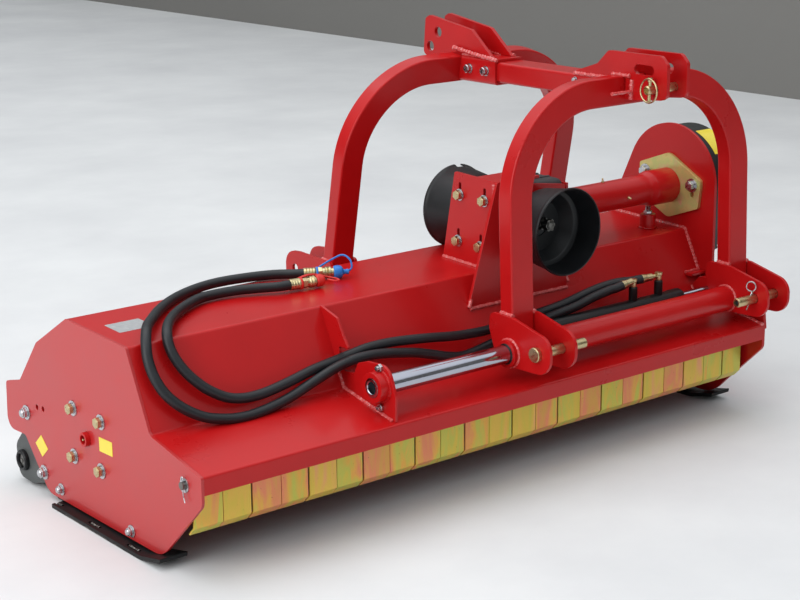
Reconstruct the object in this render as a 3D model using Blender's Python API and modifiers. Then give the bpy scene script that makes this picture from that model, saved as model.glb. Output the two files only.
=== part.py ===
"""Side shift flail mulcher for a category 2 tractor linkage.

Metres, +Z up, the tractor in front at -Y, the left side plate at -X.
The pieces are laid out from the machine's centre plane (x = 0), the front lip
(y = 0) and the ground (z = 0), under one empty that brings the middle of the
footprint to the origin.  Outlines square to X are written as (y, z).
"""
import math

import bmesh
import bpy
from mathutils import Matrix, Vector

# Clearance between pieces that touch
GAP = 0.0003

# Fillets up to this radius are drawn with coarser arcs
SMALL_FILLET = 0.025

# Mulcher body
HALF_WIDTH = 1.000
SIDE_PLATE_LEFT = 0.008
SIDE_PLATE_RIGHT = 0.010
HOOD_SHEET = 0.006
HOOD_PROFILE = [
    (0.003, 0.233, 0.000),
    (0.003, 0.279, 0.006),
    (0.226, 0.3235, 0.010),
    (0.325, 0.5226, 0.024),
    (0.624, 0.5318, 0.024),
    (0.795, 0.430, 0.020),
    (0.890, 0.305, 0.020),
    (0.895, 0.200, 0.000),
]
ADJUSTING_HOLES = [(0.814, 0.247), (0.780, 0.250)]
ADJUSTING_HOLE_RADIUS = 0.0075

# Front flaps
FLAP_ROD_Y = 0.075
FLAP_ROD_Z = 0.242
FLAP_ROD_RADIUS = 0.010
FLAP_ROD_OVERHANG = 0.012
FLAP_COUNT = 23
FLAP_SIDE_SPACE = 0.0381
FLAP_PITCH = (2 * HALF_WIDTH - FLAP_SIDE_SPACE) / FLAP_COUNT
FLAP_GAP = 0.005
FLAP_LEFT_SPACE = 0.018
FLAP_FIRST_X = -HALF_WIDTH + FLAP_LEFT_SPACE
FLAP_SHEET = 0.005
FLAP_EYE_RADIUS = 0.016
FLAP_LENGTH = 0.117
FLAP_TOE = 0.022

# Rotor, its hammers and bearings
ROTOR_Y = 0.545
ROTOR_Z = 0.230
ROTOR_TUBE_RADIUS = 0.060
ROTOR_END_SPACE = 0.055
ROTOR_HALF_LENGTH = HALF_WIDTH - ROTOR_END_SPACE
ROTOR_SHAFT_RADIUS = 0.025
ROTOR_DISC_RADIUS = 0.112
ROTOR_DISC = 0.010
ROTOR_TUBE_PROUD = 0.004
HINGE_RADIUS = 0.092
HAMMER_ROWS = {"a": 270.0, "b": 30.0, "c": 150.0}
HAMMERS_PER_ROW = 6
HAMMER_WIDTH = 0.075
HAMMER_EYE_RADIUS = 0.021
HAMMER_LENGTH = 0.108
HAMMER_SHANK = 0.014
HAMMER_HEAD = 0.030
HINGE_ROD_RADIUS = 0.009
HINGE_ROD_END = 0.005
BEARING_FLANGE = 0.012
BEARING_FLANGE_WIDTH = 0.180
BEARING_HUB_RADIUS = 0.050
BEARING_DEPTH = 0.036
GREASE_BOSS_RADIUS = 0.019
GREASE_BOSS_LENGTH = 0.018

# Rear roller and its arms
ROLLER_Y = 0.925
ROLLER_RADIUS = 0.065
ROLLER_END_SPACE = 0.038
ROLLER_HALF_LENGTH = HALF_WIDTH - ROLLER_END_SPACE
ROLLER_STUB_RADIUS = 0.020
ROLLER_ARM = 0.008
ROLLER_ARM_OUTLINE = [
    (0.848, 0.240, 0.015),
    (0.883, 0.240, 0.012),
    (0.884, 0.192, 0.020),
    (0.928, 0.145, 0.030),
    (0.972, 0.100, 0.035),
    (0.962, 0.010, 0.030),
    (0.885, 0.008, 0.030),
    (0.765, 0.045, 0.020),
    (0.765, 0.092, 0.020),
    (0.848, 0.150, 0.040),
]

# Skids
SKID_LEDGE = 0.030
SKID_WIDTH = 0.080
SKID_SOLE = 0.012
SKID_FLANGE = 0.008
SKID_OUTLINE = [
    (0.706, 0.000, 0.000),
    (0.255, 0.000, 0.150),
    (0.140, 0.026, 0.000),
    (0.137, 0.038, 0.000),
    (0.253, 0.012, 0.150),
    (0.706, 0.012, 0.000),
]
SKID_FLANGE_OUTLINE = [
    (0.745, 0.006, 0.000),
    (0.745, 0.068, 0.020),
    (0.290, 0.068, 0.020),
    (0.290, 0.006, 0.000),
]
SKID_SLOTS = [(0.671, 0.709), (0.473, 0.530), (0.276, 0.336)]
SKID_SLOT_WIDTH = 0.012

# Slide rods, their brackets at the left and their ears at the right
SLIDE_ROD_RADIUS = 0.0225
SLIDE_ROD_BORE = 0.014
SLIDE_ROD_BORE_DEPTH = 0.030
FRONT_ROD = (0.072, 0.365)
REAR_ROD = (0.930, 0.380)
BRACKET_FROM_LEFT = 0.590
BRACKET_X = -HALF_WIDTH + BRACKET_FROM_LEFT
BRACKET_PLATE = 0.008
BRACKET_BOSS_RADIUS = 0.040
BRACKET_BOSS = 0.029
EAR = 0.012
EAR_SUNK = 0.0005
EAR_X = HALF_WIDTH - EAR_SUNK
ROD_BRACKET_FRONT = [
    (0.324, 0.516, 0.000),
    (0.253, 0.505, 0.008),
    (0.224, 0.457, 0.020),
    (0.205, 0.430, 0.004),
    (0.246, 0.431, 0.006),
    (0.243, 0.392, 0.012),
    (0.226, 0.370, 0.010),
    (0.184, 0.371, 0.010),
    (0.166, 0.404, 0.012),
    (0.128, 0.417, 0.020),
    (0.040, 0.424, 0.045),
    (0.012, 0.350, 0.040),
    (0.014, 0.276, 0.000),
    (0.300, 0.276, 0.000),
    (0.340, 0.516, 0.000),
]
ROD_BRACKET_REAR = [
    (0.760, 0.420, 0.000),
    (0.801, 0.436, 0.010),
    (0.900, 0.434, 0.045),
    (0.978, 0.425, 0.045),
    (0.978, 0.330, 0.045),
    (0.892, 0.312, 0.010),
    (0.860, 0.290, 0.000),
]

# Headstock
HEADSTOCK_FROM_RIGHT = 0.488
HEADSTOCK_X = HALF_WIDTH - HEADSTOCK_FROM_RIGHT
BALL_CENTRES = 0.870
LEG_WIDTH = 0.080
LEG_DEPTH = 0.050
LEG_WALL = 0.006
CLEVIS_PLATE = 0.010
CROSS_TUBE_RADIUS = 0.038
CROSS_TUBE_COLLAR = 0.015
ARCH_OUTER_RADIUS = 0.310
ARCH_INNER_RADIUS = 0.230
FRONT_ARCH_TOP = 1.068
FRONT_ARCH_FOOT = 0.4045
FRONT_ARCH_Y = 0.0701
FRONT_ARCH_LEAN = 0.035
REAR_ARCH_TOP = 1.061
REAR_ARCH_FOOT = 0.420
REAR_ARCH_Y = 0.886
REAR_ARCH_LEAN = -0.190
FRONT_CLEVIS_OUTLINE = [
    (0.151, 0.466, 0.020),
    (0.062, 0.4645, 0.020),
    (-0.0935, 0.430, 0.046),
    (-0.0935, 0.332, 0.050),
    (0.080, 0.326, 0.020),
    (0.130, 0.352, 0.030),
    (0.1555, 0.420, 0.020),
]
FRONT_PIN = (-0.035, 0.385)
REAR_CLEVIS_OUTLINE = [
    (0.872, 0.464, 0.012),
    (1.040, 0.470, 0.030),
    (1.1085, 0.464, 0.046),
    (1.1085, 0.364, 0.048),
    (0.985, 0.330, 0.040),
    (0.878, 0.330, 0.045),
]
REAR_PIN = (1.060, 0.414)
HITCH_PIN_RADIUS = 0.014
HITCH_PIN_HEAD = 0.018
PIN_HEAD = 0.012

CENTRE_TUBE_WIDTH = 0.100
CENTRE_TUBE_BASE = 0.995
CENTRE_TUBE_TOP = 1.055
CENTRE_TUBE_WALL = 0.006
CENTRE_TUBE_FRONT = 0.1465
CENTRE_TUBE_REAR = 0.752
SLEEVE_FRONT = 0.612
SLEEVE_WALL = 0.008

TOP_CLEVIS_PLATE = 0.012
TOP_CLEVIS_SPAN = 0.090
TOP_PIN_RADIUS = 0.0125
TOP_PIN = (-0.003, 1.044)
TOP_PIN_HEAD = 0.018
TOP_CLEVIS_FRONT = [
    (0.292, 1.0553, 0.000),
    (0.290, 1.062, 0.004),
    (0.200, 1.092, 0.020),
    (0.158, 1.132, 0.015),
    (-0.040, 1.133, 0.020),
    (-0.063, 1.110, 0.015),
    (-0.063, 1.024, 0.015),
    (-0.045, 1.014, 0.010),
    (0.100, 0.998, 0.000),
    (0.130, 1.030, 0.000),
    (0.130, 1.0553, 0.000),
]
TOP_SLOT = (0.022, 1.090)
TOP_SLOT_LENGTH = 0.073
TOP_SLOT_WIDTH = 0.028
TOP_CLEVIS_REAR = [
    (0.640, 1.066, 0.000),
    (0.735, 1.141, 0.020),
    (0.930, 1.171, 0.012),
    (0.950, 1.161, 0.010),
    (0.960, 1.052, 0.015),
    (0.930, 1.042, 0.010),
    (0.812, 1.020, 0.000),
    (0.780, 1.020, 0.000),
    (0.780, 1.060, 0.000),
]
TOP_REAR_HOLES = [(0.890, 1.122), (0.927, 1.076)]
TOP_TIE_FRONT = [(0.030, 1.018), (0.110, 1.030)]
TOP_TIE_REAR = [(0.835, 1.066), (0.870, 1.078)]

# Side shift cylinder
CYLINDER = (0.185, 0.358)
BARREL_RADIUS = 0.030
BARREL_BORE = 0.025
BARREL_LEFT = HEADSTOCK_X - 0.250
BARREL_RIGHT = HEADSTOCK_X + 0.313
BARREL_CAP = 0.024
GLAND = 0.030
PISTON_ROD_RADIUS = 0.015
PISTON = 0.025
SHIFT_STROKE = 0.380
LUG_FROM_RIGHT = 0.054
LUG_PLATE_X = HALF_WIDTH - LUG_FROM_RIGHT
LUG_PLATE = 0.012
LUG_OUTLINE = [
    (0.159, 0.290, 0.000),
    (0.159, 0.398, 0.030),
    (0.216, 0.398, 0.030),
    (0.262, 0.330, 0.000),
    (0.262, 0.290, 0.000),
]
PORTS = {"a": HEADSTOCK_X + 0.090, "b": HEADSTOCK_X + 0.210}
PORT_RADIUS = 0.013
PORT_TOPS = {"a": 0.437, "b": 0.449}
PORT_CROWN = 0.014
FERRULE_RADIUS = 0.0155
FERRULE_ENDS = {
    "a": (HEADSTOCK_X + 0.044, 0.1890, 0.4300),
    "b": (HEADSTOCK_X + 0.144, 0.1990, 0.4420),
}

# Hoses, whose routes were laid out on a mulcher of one half width; on another they
# move with the end that they lie near, wholly from a distance off its middle
HOSE_LAID_OUT_ON = 1.000
HOSE_NEAR_AN_END = 0.400
HOSE_RADIUS = 0.0125
HOSE_SPACING = 0.074
HOSE_STRAIGHT = 0.028
HOSE_ROUTES = {
    "a": [
        (0.490, 0.1945, 0.4150),
        (0.450, 0.2005, 0.4065),
        (0.400, 0.212, 0.395),
        (0.340, 0.2245, 0.380),
        (0.250, 0.2290, 0.3725),
        (0.100, 0.210, 0.368),
        (-0.050, 0.208, 0.358),
        (-0.140, 0.208, 0.371),
        (-0.240, 0.202, 0.390),
        (-0.340, 0.202, 0.395),
        (-0.410, 0.203, 0.392),
        (-0.478, 0.201, 0.389),
        (-0.547, 0.196, 0.375),
        (-0.604, 0.198, 0.356),
        (-0.671, 0.194, 0.342),
        (-0.734, 0.189, 0.334),
        (-0.793, 0.191, 0.337),
        (-0.845, 0.200, 0.354),
        (-0.891, 0.215, 0.383),
        (-0.921, 0.233, 0.418),
        (-0.946, 0.257, 0.464),
        (-0.960, 0.276, 0.504),
        (-0.962, 0.300, 0.538),
        (-0.948, 0.345, 0.549),
        (-0.920, 0.380, 0.545),
        (-0.841, 0.467, 0.5425),
        (-0.762, 0.552, 0.545),
        (-0.700, 0.585, 0.546),
        (-0.636, 0.608, 0.546),
        (-0.566, 0.616, 0.546),
        (-0.474, 0.608, 0.546),
        (-0.393, 0.584, 0.546),
    ],
    "b": [
        (0.603, 0.2170, 0.437),
        (0.560, 0.2260, 0.434),
        (0.500, 0.2205, 0.431),
        (0.450, 0.2180, 0.4285),
        (0.400, 0.2165, 0.425),
        (0.287, 0.213, 0.419),
        (0.100, 0.212, 0.404),
        (-0.060, 0.216, 0.410),
        (-0.205, 0.222, 0.416),
        (-0.306, 0.227, 0.415),
        (-0.372, 0.229, 0.413),
        (-0.424, 0.229, 0.408),
        (-0.478, 0.226, 0.402),
        (-0.561, 0.221, 0.388),
        (-0.611, 0.214, 0.377),
        (-0.659, 0.209, 0.371),
        (-0.720, 0.209, 0.371),
        (-0.774, 0.216, 0.384),
        (-0.822, 0.230, 0.412),
        (-0.854, 0.247, 0.444),
        (-0.870, 0.264, 0.478),
        (-0.882, 0.281, 0.512),
        (-0.884, 0.306, 0.539),
        (-0.868, 0.345, 0.546),
        (-0.832, 0.398, 0.5425),
        (-0.766, 0.478, 0.5425),
        (-0.708, 0.517, 0.5435),
        (-0.645, 0.541, 0.5445),
        (-0.583, 0.541, 0.5445),
        (-0.531, 0.525, 0.5445),
        (-0.485, 0.508, 0.5455),
    ],
}
COUPLERS = {
    "a": ((-HALF_WIDTH + 0.700, 0.545, 0.5475), (-HALF_WIDTH + 0.820, 0.512, 0.5475)),
    "b": ((-HALF_WIDTH + 0.590, 0.502, 0.5460), (-HALF_WIDTH + 0.710, 0.502, 0.5460)),
}
COUPLER_RADIUS = 0.017
DUST_CAP_RADIUS = 0.018

# Drive line
DRIVE_Y = 0.394
DRIVE_Z = 0.650
PTO_FROM_RIGHT = 0.690
PTO_X = HALF_WIDTH - PTO_FROM_RIGHT
PTO_SHAFT_RADIUS = 0.0175
PTO_JOURNAL_RADIUS = 0.020
PTO_SPLINES = 6
PTO_SPLINE_DEPTH = 0.0025
PTO_FRONT = 0.215
PTO_REAR = 0.575
GEARBOX_WIDTH = 0.264
GEARBOX_FRONT = 0.295
GEARBOX_REAR = 0.490
GEARBOX_BASE = 0.545
GEARBOX_TOP = 0.757
GEARBOX_BOSS_RADIUS = 0.060
GEARBOX_BOSS_FRONT = 0.264
GEARBOX_BOSS_REAR = 0.505
GEARBOX_PLATE = 0.008
PANEL_Y = 0.283
PANEL = 0.008
PANEL_BASE = 0.448
PANEL_TOP = 0.780
PANEL_BASE_HALF = 0.244
GEARBOX_PLATE_OUTLINE = [
    (0.520, 0.500, 0.000),
    (0.465, 0.786, 0.006),
    (0.2915, 0.780, 0.000),
    (0.2915, 0.430, 0.000),
]
PLATE_SLOTS = [(0.446, 0.721), (0.343, 0.720), (0.455, 0.588), (0.364, 0.584)]
PLATE_SLOT_WIDTH = 0.014
PLATE_SLOT_LENGTH = 0.050
HOUSING_LEFT_RADIUS = 0.042
HOUSING_RIGHT_RADIUS = 0.053
HOUSING_BORE = 0.030
FLANGE_OUTLINE = [
    (0.510, 0.709, 0.012),
    (0.400, 0.752, 0.014),
    (0.262, 0.679, 0.012),
    (0.267, 0.597, 0.012),
    (0.394, 0.552, 0.014),
    (0.515, 0.609, 0.012),
]
FLANGE = 0.012
DRIVE_SHAFT_RADIUS = 0.0225
JACK_FROM_RIGHT = 0.100
JACK_X = HALF_WIDTH - JACK_FROM_RIGHT
JACK_Y = 0.400
JACK_STUB_RADIUS = 0.017
JACK_STUB_TOP = 0.566

GUARD_MOUTH_RADIUS = 0.117
GUARD_BACK_RADIUS = 0.105
GUARD_LENGTH = 0.124
GUARD_WALL = 0.004
GUARD_HOLE = 0.030

# Belt drive
UPPER_PULLEY_RADIUS = 0.130
LOWER_PULLEY_RADIUS = 0.110
PULLEY_STANDOFF = 0.010
PULLEY_LEFT = HALF_WIDTH + PULLEY_STANDOFF
PULLEY_WIDTH = 0.066
BELT_WIDTH = 0.058
BELT = 0.011
COVER_DEPTH = 0.105
COVER_SHEET = 0.003
COVER_UPPER_RADIUS = 0.193
COVER_LOWER_RADIUS = 0.138

# The right side plate rises to carry the drive
DRIVE_PLATE_RADIUS = 0.187
DRIVE_PLATE_CENTRE = (0.399, 0.655)
SIDE_PLATE_OUTLINE = [
    (0.003, 0.207, 0.030),
    (0.195, 0.020, 0.090),
    (0.775, 0.016, 0.060),
    (0.893, 0.148, 0.020),
    (0.998, 0.144, 0.035),
    (0.990, 0.279, 0.012),
    (0.906, 0.301, 0.020),
    (0.797, 0.430, 0.015),
]
LEFT_PLATE_TOP = [
    (0.624, 0.532, 0.010),
    (0.325, 0.523, 0.010),
    (0.228, 0.324, 0.020),
    (0.003, 0.279, 0.006),
]
RIGHT_PLATE_TOP = [
    (0.640, 0.520, 0.030),
    (0.586, 0.640, 0.030),
    (0.586, 0.842, 0.187),
    (0.212, 0.842, 0.187),
    (0.212, 0.321, 0.020),
    (0.003, 0.279, 0.006),
]
FRONT_EAR_OUTLINE = [
    (0.006, 0.262, 0.004),
    (0.024, 0.411, 0.046),
    (0.120, 0.411, 0.046),
    (0.120, 0.345, 0.020),
    (0.208, 0.345, 0.010),
    (0.208, 0.262, 0.006),
]
REAR_EAR_OUTLINE = [
    (0.790, 0.300, 0.010),
    (0.790, 0.405, 0.010),
    (0.882, 0.428, 0.046),
    (0.978, 0.428, 0.046),
    (0.978, 0.332, 0.046),
    (0.905, 0.290, 0.020),
]

# Finishes: colour, roughness, metallic
FINISHES = {
    "red_paint": ((0.54, 0.012, 0.012, 1), 0.35, 0.0),
    "black_paint": ((0.015, 0.015, 0.017, 1), 0.40, 0.0),
    "grey_paint": ((0.10, 0.10, 0.10, 1), 0.45, 0.0),
    "chrome": ((0.55, 0.56, 0.57, 1), 0.12, 1.0),
    "zinc": ((0.55, 0.48, 0.30, 1), 0.35, 1.0),
    "yellow_zinc": ((0.62, 0.50, 0.24, 1), 0.30, 1.0),
    "bare_steel": ((0.30, 0.30, 0.30, 1), 0.45, 1.0),
    "rubber": ((0.012, 0.013, 0.016, 1), 0.55, 0.0),
    "plastic": ((0.012, 0.012, 0.012, 1), 0.45, 0.0),
    "red_cap": ((0.60, 0.02, 0.02, 1), 0.40, 0.0),
    "blue_cap": ((0.02, 0.12, 0.50, 1), 0.40, 0.0),
}


def collection(name):
    """A new collection in the scene."""
    group = bpy.data.collections.new(name)
    bpy.context.scene.collection.children.link(group)
    return group


def start_scene():
    """Remove what the scene holds and make the two collections."""
    for old in list(bpy.data.objects):
        bpy.data.objects.remove(old, do_unlink=True)
    return collection("tractor_mulcher"), collection("workbench")


parts, workbench = start_scene()


def shape(data, matrix=None):
    """A working object on the bench."""
    thing = bpy.data.objects.new(data.name, data)
    thing.matrix_world = matrix or Matrix()
    thing.hide_render = True
    thing.display_type = "WIRE"
    workbench.objects.link(thing)
    return thing


def as_mesh(thing):
    """The evaluated form of a working object, welded, in place of it."""
    bpy.context.view_layer.update()
    graph = bpy.context.evaluated_depsgraph_get()
    mesh = bpy.data.meshes.new_from_object(thing.evaluated_get(graph), depsgraph=graph)
    mesh.transform(thing.matrix_world)
    bpy.data.objects.remove(thing)
    work = bmesh.new()
    work.from_mesh(mesh)
    bmesh.ops.remove_doubles(work, verts=work.verts, dist=0.00001)
    bmesh.ops.recalc_face_normals(work, faces=work.faces)
    work.to_mesh(mesh)
    work.free()
    return shape(mesh)


def from_bmesh(work):
    """A working object made of a bmesh."""
    mesh = bpy.data.meshes.new("solid")
    work.to_mesh(mesh)
    work.free()
    return shape(mesh)


def box(low, high):
    """A block between two opposite corners."""
    low = Vector(low)
    high = Vector(high)
    size = Matrix.Diagonal((*(high - low), 1))
    work = bmesh.new()
    bmesh.ops.create_cube(work, size=1, matrix=Matrix.Translation((low + high) / 2) @ size)
    return from_bmesh(work)


def along(start, end):
    """The frame whose Z runs from start towards end."""
    start = Vector(start)
    turn = (Vector(end) - start).to_track_quat("Z", "Y")
    return Matrix.Translation(start) @ turn.to_matrix().to_4x4()


def bar(start, end, radius, sides=16, end_radius=None):
    """A round bar, or a cone, between two points."""
    length = (Vector(end) - Vector(start)).length
    work = bmesh.new()
    bmesh.ops.create_cone(
        work,
        cap_ends=True,
        segments=sides,
        radius1=radius,
        radius2=radius if end_radius is None else end_radius,
        depth=length,
        matrix=along(start, end) @ Matrix.Translation((0, 0, length / 2)),
    )
    return from_bmesh(work)


def turned(profile, start, end, sides=24):
    """A turned solid: (radius, distance from start) points, from the far end back."""
    mesh = bpy.data.meshes.new("profile")
    points = [(radius, 0, distance) for radius, distance in profile]
    edges = [(index, index + 1) for index in range(len(points) - 1)]
    if profile[0][0] > 0:
        edges.append((len(points) - 1, 0))
    mesh.from_pydata(points, edges, [])
    thing = shape(mesh, along(start, end))
    screw = thing.modifiers.new("turn", "SCREW")
    screw.steps = sides
    screw.render_steps = sides
    screw.use_merge_vertices = True
    screw.merge_threshold = 0.0001
    return as_mesh(thing)


def rounded(corners, closed=True, step=math.radians(30)):
    """Points of an outline whose (u, v, radius) corners are drawn as arcs."""
    points = []
    count = len(corners)
    for index, (u, v, radius) in enumerate(corners):
        corner = Vector((u, v))
        if radius <= 0 or (not closed and index in (0, count - 1)):
            points.append((u, v))
            continue
        before = (Vector(corners[index - 1][:2]) - corner).normalized()
        after = (Vector(corners[(index + 1) % count][:2]) - corner).normalized()
        half = before.angle(after) / 2
        centre = corner + (before + after).normalized() * radius / math.sin(half)
        first = corner + before * radius / math.tan(half) - centre
        turn = math.pi - 2 * half
        if before.x * after.y - before.y * after.x > 0:
            turn = -turn
        pieces = max(1, round(abs(turn) / (step if radius > SMALL_FILLET else 2 * step)))
        for piece in range(pieces + 1):
            angle = turn * piece / pieces
            points.append((
                centre.x + first.x * math.cos(angle) - first.y * math.sin(angle),
                centre.y + first.x * math.sin(angle) + first.y * math.cos(angle),
            ))
    return without_repeats(points)


def without_repeats(points):
    """The outline without points that lie on the one before."""
    kept = []
    for point in points:
        if not kept or math.dist(point, kept[-1]) > 0.0001:
            kept.append(point)
    if math.dist(kept[0], kept[-1]) <= 0.0001:
        kept.pop()
    return kept


def circle(centre, radius, sides=16):
    """Points of a circle, its flats where a bar of as many sides has its corners."""
    return [
        (
            centre[0] + radius * math.cos(math.tau * (side + 0.5) / sides),
            centre[1] + radius * math.sin(math.tau * (side + 0.5) / sides),
        )
        for side in range(sides)
    ]


def slot(centre, length, width, upright=False):
    """Points of a slot with round ends."""
    reach = (length - width) / 2
    points = []
    for end, first in ((1, -90), (-1, 90)):
        for step in range(4):
            angle = math.radians(first + 60 * step)
            u = end * reach + width / 2 * math.cos(angle)
            v = width / 2 * math.sin(angle)
            points.append((centre[0] - v, centre[1] + u) if upright else (centre[0] + u, centre[1] + v))
    return points


def seat(radius, sides=16):
    """The bore that takes a bar of this radius with the usual clearance at its flats."""
    return (radius + GAP) / math.cos(math.pi / sides)


def plate(outline, thickness, place, holes=()):
    """A flat plate: an outline in the place's XY plane, thick along its Z."""
    data = bpy.data.curves.new("plate", "CURVE")
    data.dimensions = "2D"
    data.fill_mode = "BOTH"
    data.extrude = thickness / 2
    for loop in (outline, *holes):
        spline = data.splines.new("POLY")
        spline.points.add(len(loop) - 1)
        spline.use_cyclic_u = True
        for point, (u, v) in zip(spline.points, loop):
            point.co = (u, v, 0, 1)
    return as_mesh(shape(data, place))


def side_plate(outline, left, right, holes=()):
    """A plate square to X between two x values, its outline in (y, z)."""
    facing = Matrix.Rotation(math.pi / 2, 4, "Z") @ Matrix.Rotation(math.pi / 2, 4, "X")
    place = Matrix.Translation(((left + right) / 2, 0, 0)) @ facing
    return plate(outline, right - left, place, holes)


def cross_plate(outline, front, rear, holes=(), lean=0.0, foot=(0.0, 0.0)):
    """A plate square to Y, its outline in (x, height), leaning about its foot (y, z)."""
    place = (
        Matrix.Translation((0, foot[0], foot[1]))
        @ Matrix.Rotation(-math.atan(lean), 4, "X")
        @ Matrix.Translation((0, (front + rear) / 2, 0))
        @ Matrix.Rotation(math.pi / 2, 4, "X")
    )
    return plate(outline, rear - front, place, holes)


def bench(things):
    """One working object of several solids that don't touch."""
    work = bmesh.new()
    for thing in things:
        work.from_mesh(thing.data)
        bpy.data.objects.remove(thing)
    return from_bmesh(work)


def combine(first, others, operation):
    """The first solid after one Boolean with each of the others."""
    for other in others:
        change = first.modifiers.new("boolean", "BOOLEAN")
        change.operation = operation
        change.solver = "EXACT"
        change.object = other
    result = as_mesh(first)
    for other in others:
        bpy.data.objects.remove(other)
    return result


def join(first, *others):
    """Solids welded into one."""
    return combine(first, others, "UNION")


def cut(first, *others):
    """A solid less its cutters."""
    return combine(first, others, "DIFFERENCE")


def material(name, finish):
    """A Principled material for one sub-part."""
    colour, roughness, metallic = FINISHES[finish]
    look = bpy.data.materials.new(name)
    look.use_nodes = True
    shader = look.node_tree.nodes["Principled BSDF"]
    shader.inputs["Base Color"].default_value = colour
    shader.inputs["Roughness"].default_value = roughness
    shader.inputs["Metallic"].default_value = metallic
    look.diffuse_color = colour
    return look


def axis_empty(name, parent, position):
    """An empty on a joint's axis, placed in the machine's layout."""
    empty = bpy.data.objects.new(name, None)
    parts.objects.link(empty)
    empty.parent = parent
    empty["layout"] = position
    origin = Vector(parent["layout"]) if parent else Vector()
    empty.location = Vector(position) - origin
    return empty


def finish(thing, name, look, parent, pivot=None):
    """Name a solid, give it its material and hang it on its parent at its pivot."""
    pivot = Vector(pivot if pivot else parent["layout"])
    thing.data.transform(Matrix.Translation(-pivot))
    thing.data.name = name
    thing.name = name
    thing.data.materials.clear()
    thing.data.materials.append(material(name, look))
    for polygon in thing.data.polygons:
        polygon.use_smooth = True
    thing.data.set_sharp_from_angle(angle=math.radians(30))
    workbench.objects.unlink(thing)
    parts.objects.link(thing)
    thing.hide_render = False
    thing.display_type = "TEXTURED"
    thing.parent = parent
    thing.location = pivot - Vector(parent["layout"])
    return thing


def reach(outline, index):
    """Least and greatest value of one coordinate of an outline."""
    values = [point[index] for point in rounded(outline)]
    return min(values), max(values)


# Middle of the footprint, measured between the outermost pieces
FOOTPRINT_X = (COVER_DEPTH - SKID_LEDGE) / 2
FOOTPRINT_Y = (reach(FRONT_CLEVIS_OUTLINE, 0)[0] + reach(REAR_CLEVIS_OUTLINE, 0)[1]) / 2

frame = axis_empty("mulcher_frame", None, (0, 0, 0))
frame.location = (-FOOTPRINT_X, -FOOTPRINT_Y, 0)
headstock = axis_empty("headstock_slide", frame, (HEADSTOCK_X, *FRONT_ROD))
rotor_axis = axis_empty("rotor_axis", frame, (0, ROTOR_Y, ROTOR_Z))

LEFT_INNER = -HALF_WIDTH + SIDE_PLATE_LEFT + GAP
RIGHT_INNER = HALF_WIDTH - SIDE_PLATE_RIGHT - GAP


def hood_space():
    """What the hood fills, down to the ground, for seating pieces on it."""
    corners = HOOD_PROFILE[:]
    moved = []
    for index, (u, v, radius) in enumerate(corners):
        here = Vector((u, v))
        normals = []
        for near, far in ((index - 1, index), (index, index + 1)):
            if 0 <= near and far < len(corners):
                edge = Vector(corners[far][:2]) - Vector(corners[near][:2])
                normals.append(Vector((-edge.y, edge.x)).normalized())
        middle = sum(normals, Vector((0, 0))).normalized()
        shift = middle * GAP / middle.dot(normals[0])
        moved.append((here.x + shift.x, here.y + shift.y, radius))
    outline = rounded(moved, closed=False)
    outline += [(0.895, 0.0), (0.003, 0.0)]
    return side_plate(outline, -HALF_WIDTH, HALF_WIDTH)


def hood_top(y):
    """Height of the hood's flat top at a distance from the front."""
    front, rear = HOOD_PROFILE[3], HOOD_PROFILE[4]
    return front[1] + (rear[1] - front[1]) * (y - front[0]) / (rear[0] - front[0])


def hood_shell():
    """The folded sheet: an open profile drawn out along X and given its thickness."""
    profile = rounded(HOOD_PROFILE, closed=False)
    work = bmesh.new()
    verts = [work.verts.new((LEFT_INNER, y, z)) for y, z in profile]
    edges = [work.edges.new(pair) for pair in zip(verts, verts[1:])]
    drawn = bmesh.ops.extrude_edge_only(work, edges=edges)
    moved = [item for item in drawn["geom"] if isinstance(item, bmesh.types.BMVert)]
    bmesh.ops.translate(work, verts=moved, vec=(RIGHT_INNER - LEFT_INNER, 0, 0))
    bmesh.ops.recalc_face_normals(work, faces=work.faces)
    thing = from_bmesh(work)
    wall = thing.modifiers.new("sheet", "SOLIDIFY")
    wall.thickness = HOOD_SHEET
    wall.use_even_offset = True
    highest = max(thing.data.polygons, key=lambda polygon: polygon.center.z)
    wall.offset = -1 if highest.normal.z > 0 else 1
    finish(as_mesh(thing), "hood_shell", "red_paint", frame)


def side_plates():
    """Left plate, and the right plate with its drive end and rod ears."""
    rod_hole = circle((FLAP_ROD_Y, FLAP_ROD_Z), seat(FLAP_ROD_RADIUS, 8), 8)
    small = [circle(spot, ADJUSTING_HOLE_RADIUS, 8) for spot in ADJUSTING_HOLES]
    boss_hole = circle((ROTOR_Y, ROTOR_Z), seat(GREASE_BOSS_RADIUS, 16), 16)
    outline = rounded(SIDE_PLATE_OUTLINE + LEFT_PLATE_TOP)
    left = side_plate(
        outline, -HALF_WIDTH, -HALF_WIDTH + SIDE_PLATE_LEFT, [rod_hole, boss_hole, *small]
    )
    finish(left, "side_plate_left", "red_paint", frame)

    shaft_hole = circle((ROTOR_Y, ROTOR_Z), ROTOR_SHAFT_RADIUS + 0.006, 16)
    drive_hole = circle((DRIVE_Y, DRIVE_Z), HOUSING_BORE, 16)
    right = side_plate(
        rounded(SIDE_PLATE_OUTLINE + RIGHT_PLATE_TOP),
        HALF_WIDTH - SIDE_PLATE_RIGHT,
        HALF_WIDTH,
        [rod_hole, shaft_hole, drive_hole, *small],
    )
    ears = [
        side_plate(rounded(outline), EAR_X, EAR_X + EAR, [circle(rod, seat(SLIDE_ROD_RADIUS, 16), 16)])
        for outline, rod in ((FRONT_EAR_OUTLINE, FRONT_ROD), (REAR_EAR_OUTLINE, REAR_ROD))
    ]
    finish(join(right, *ears), "side_plate_right", "red_paint", frame)


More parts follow.
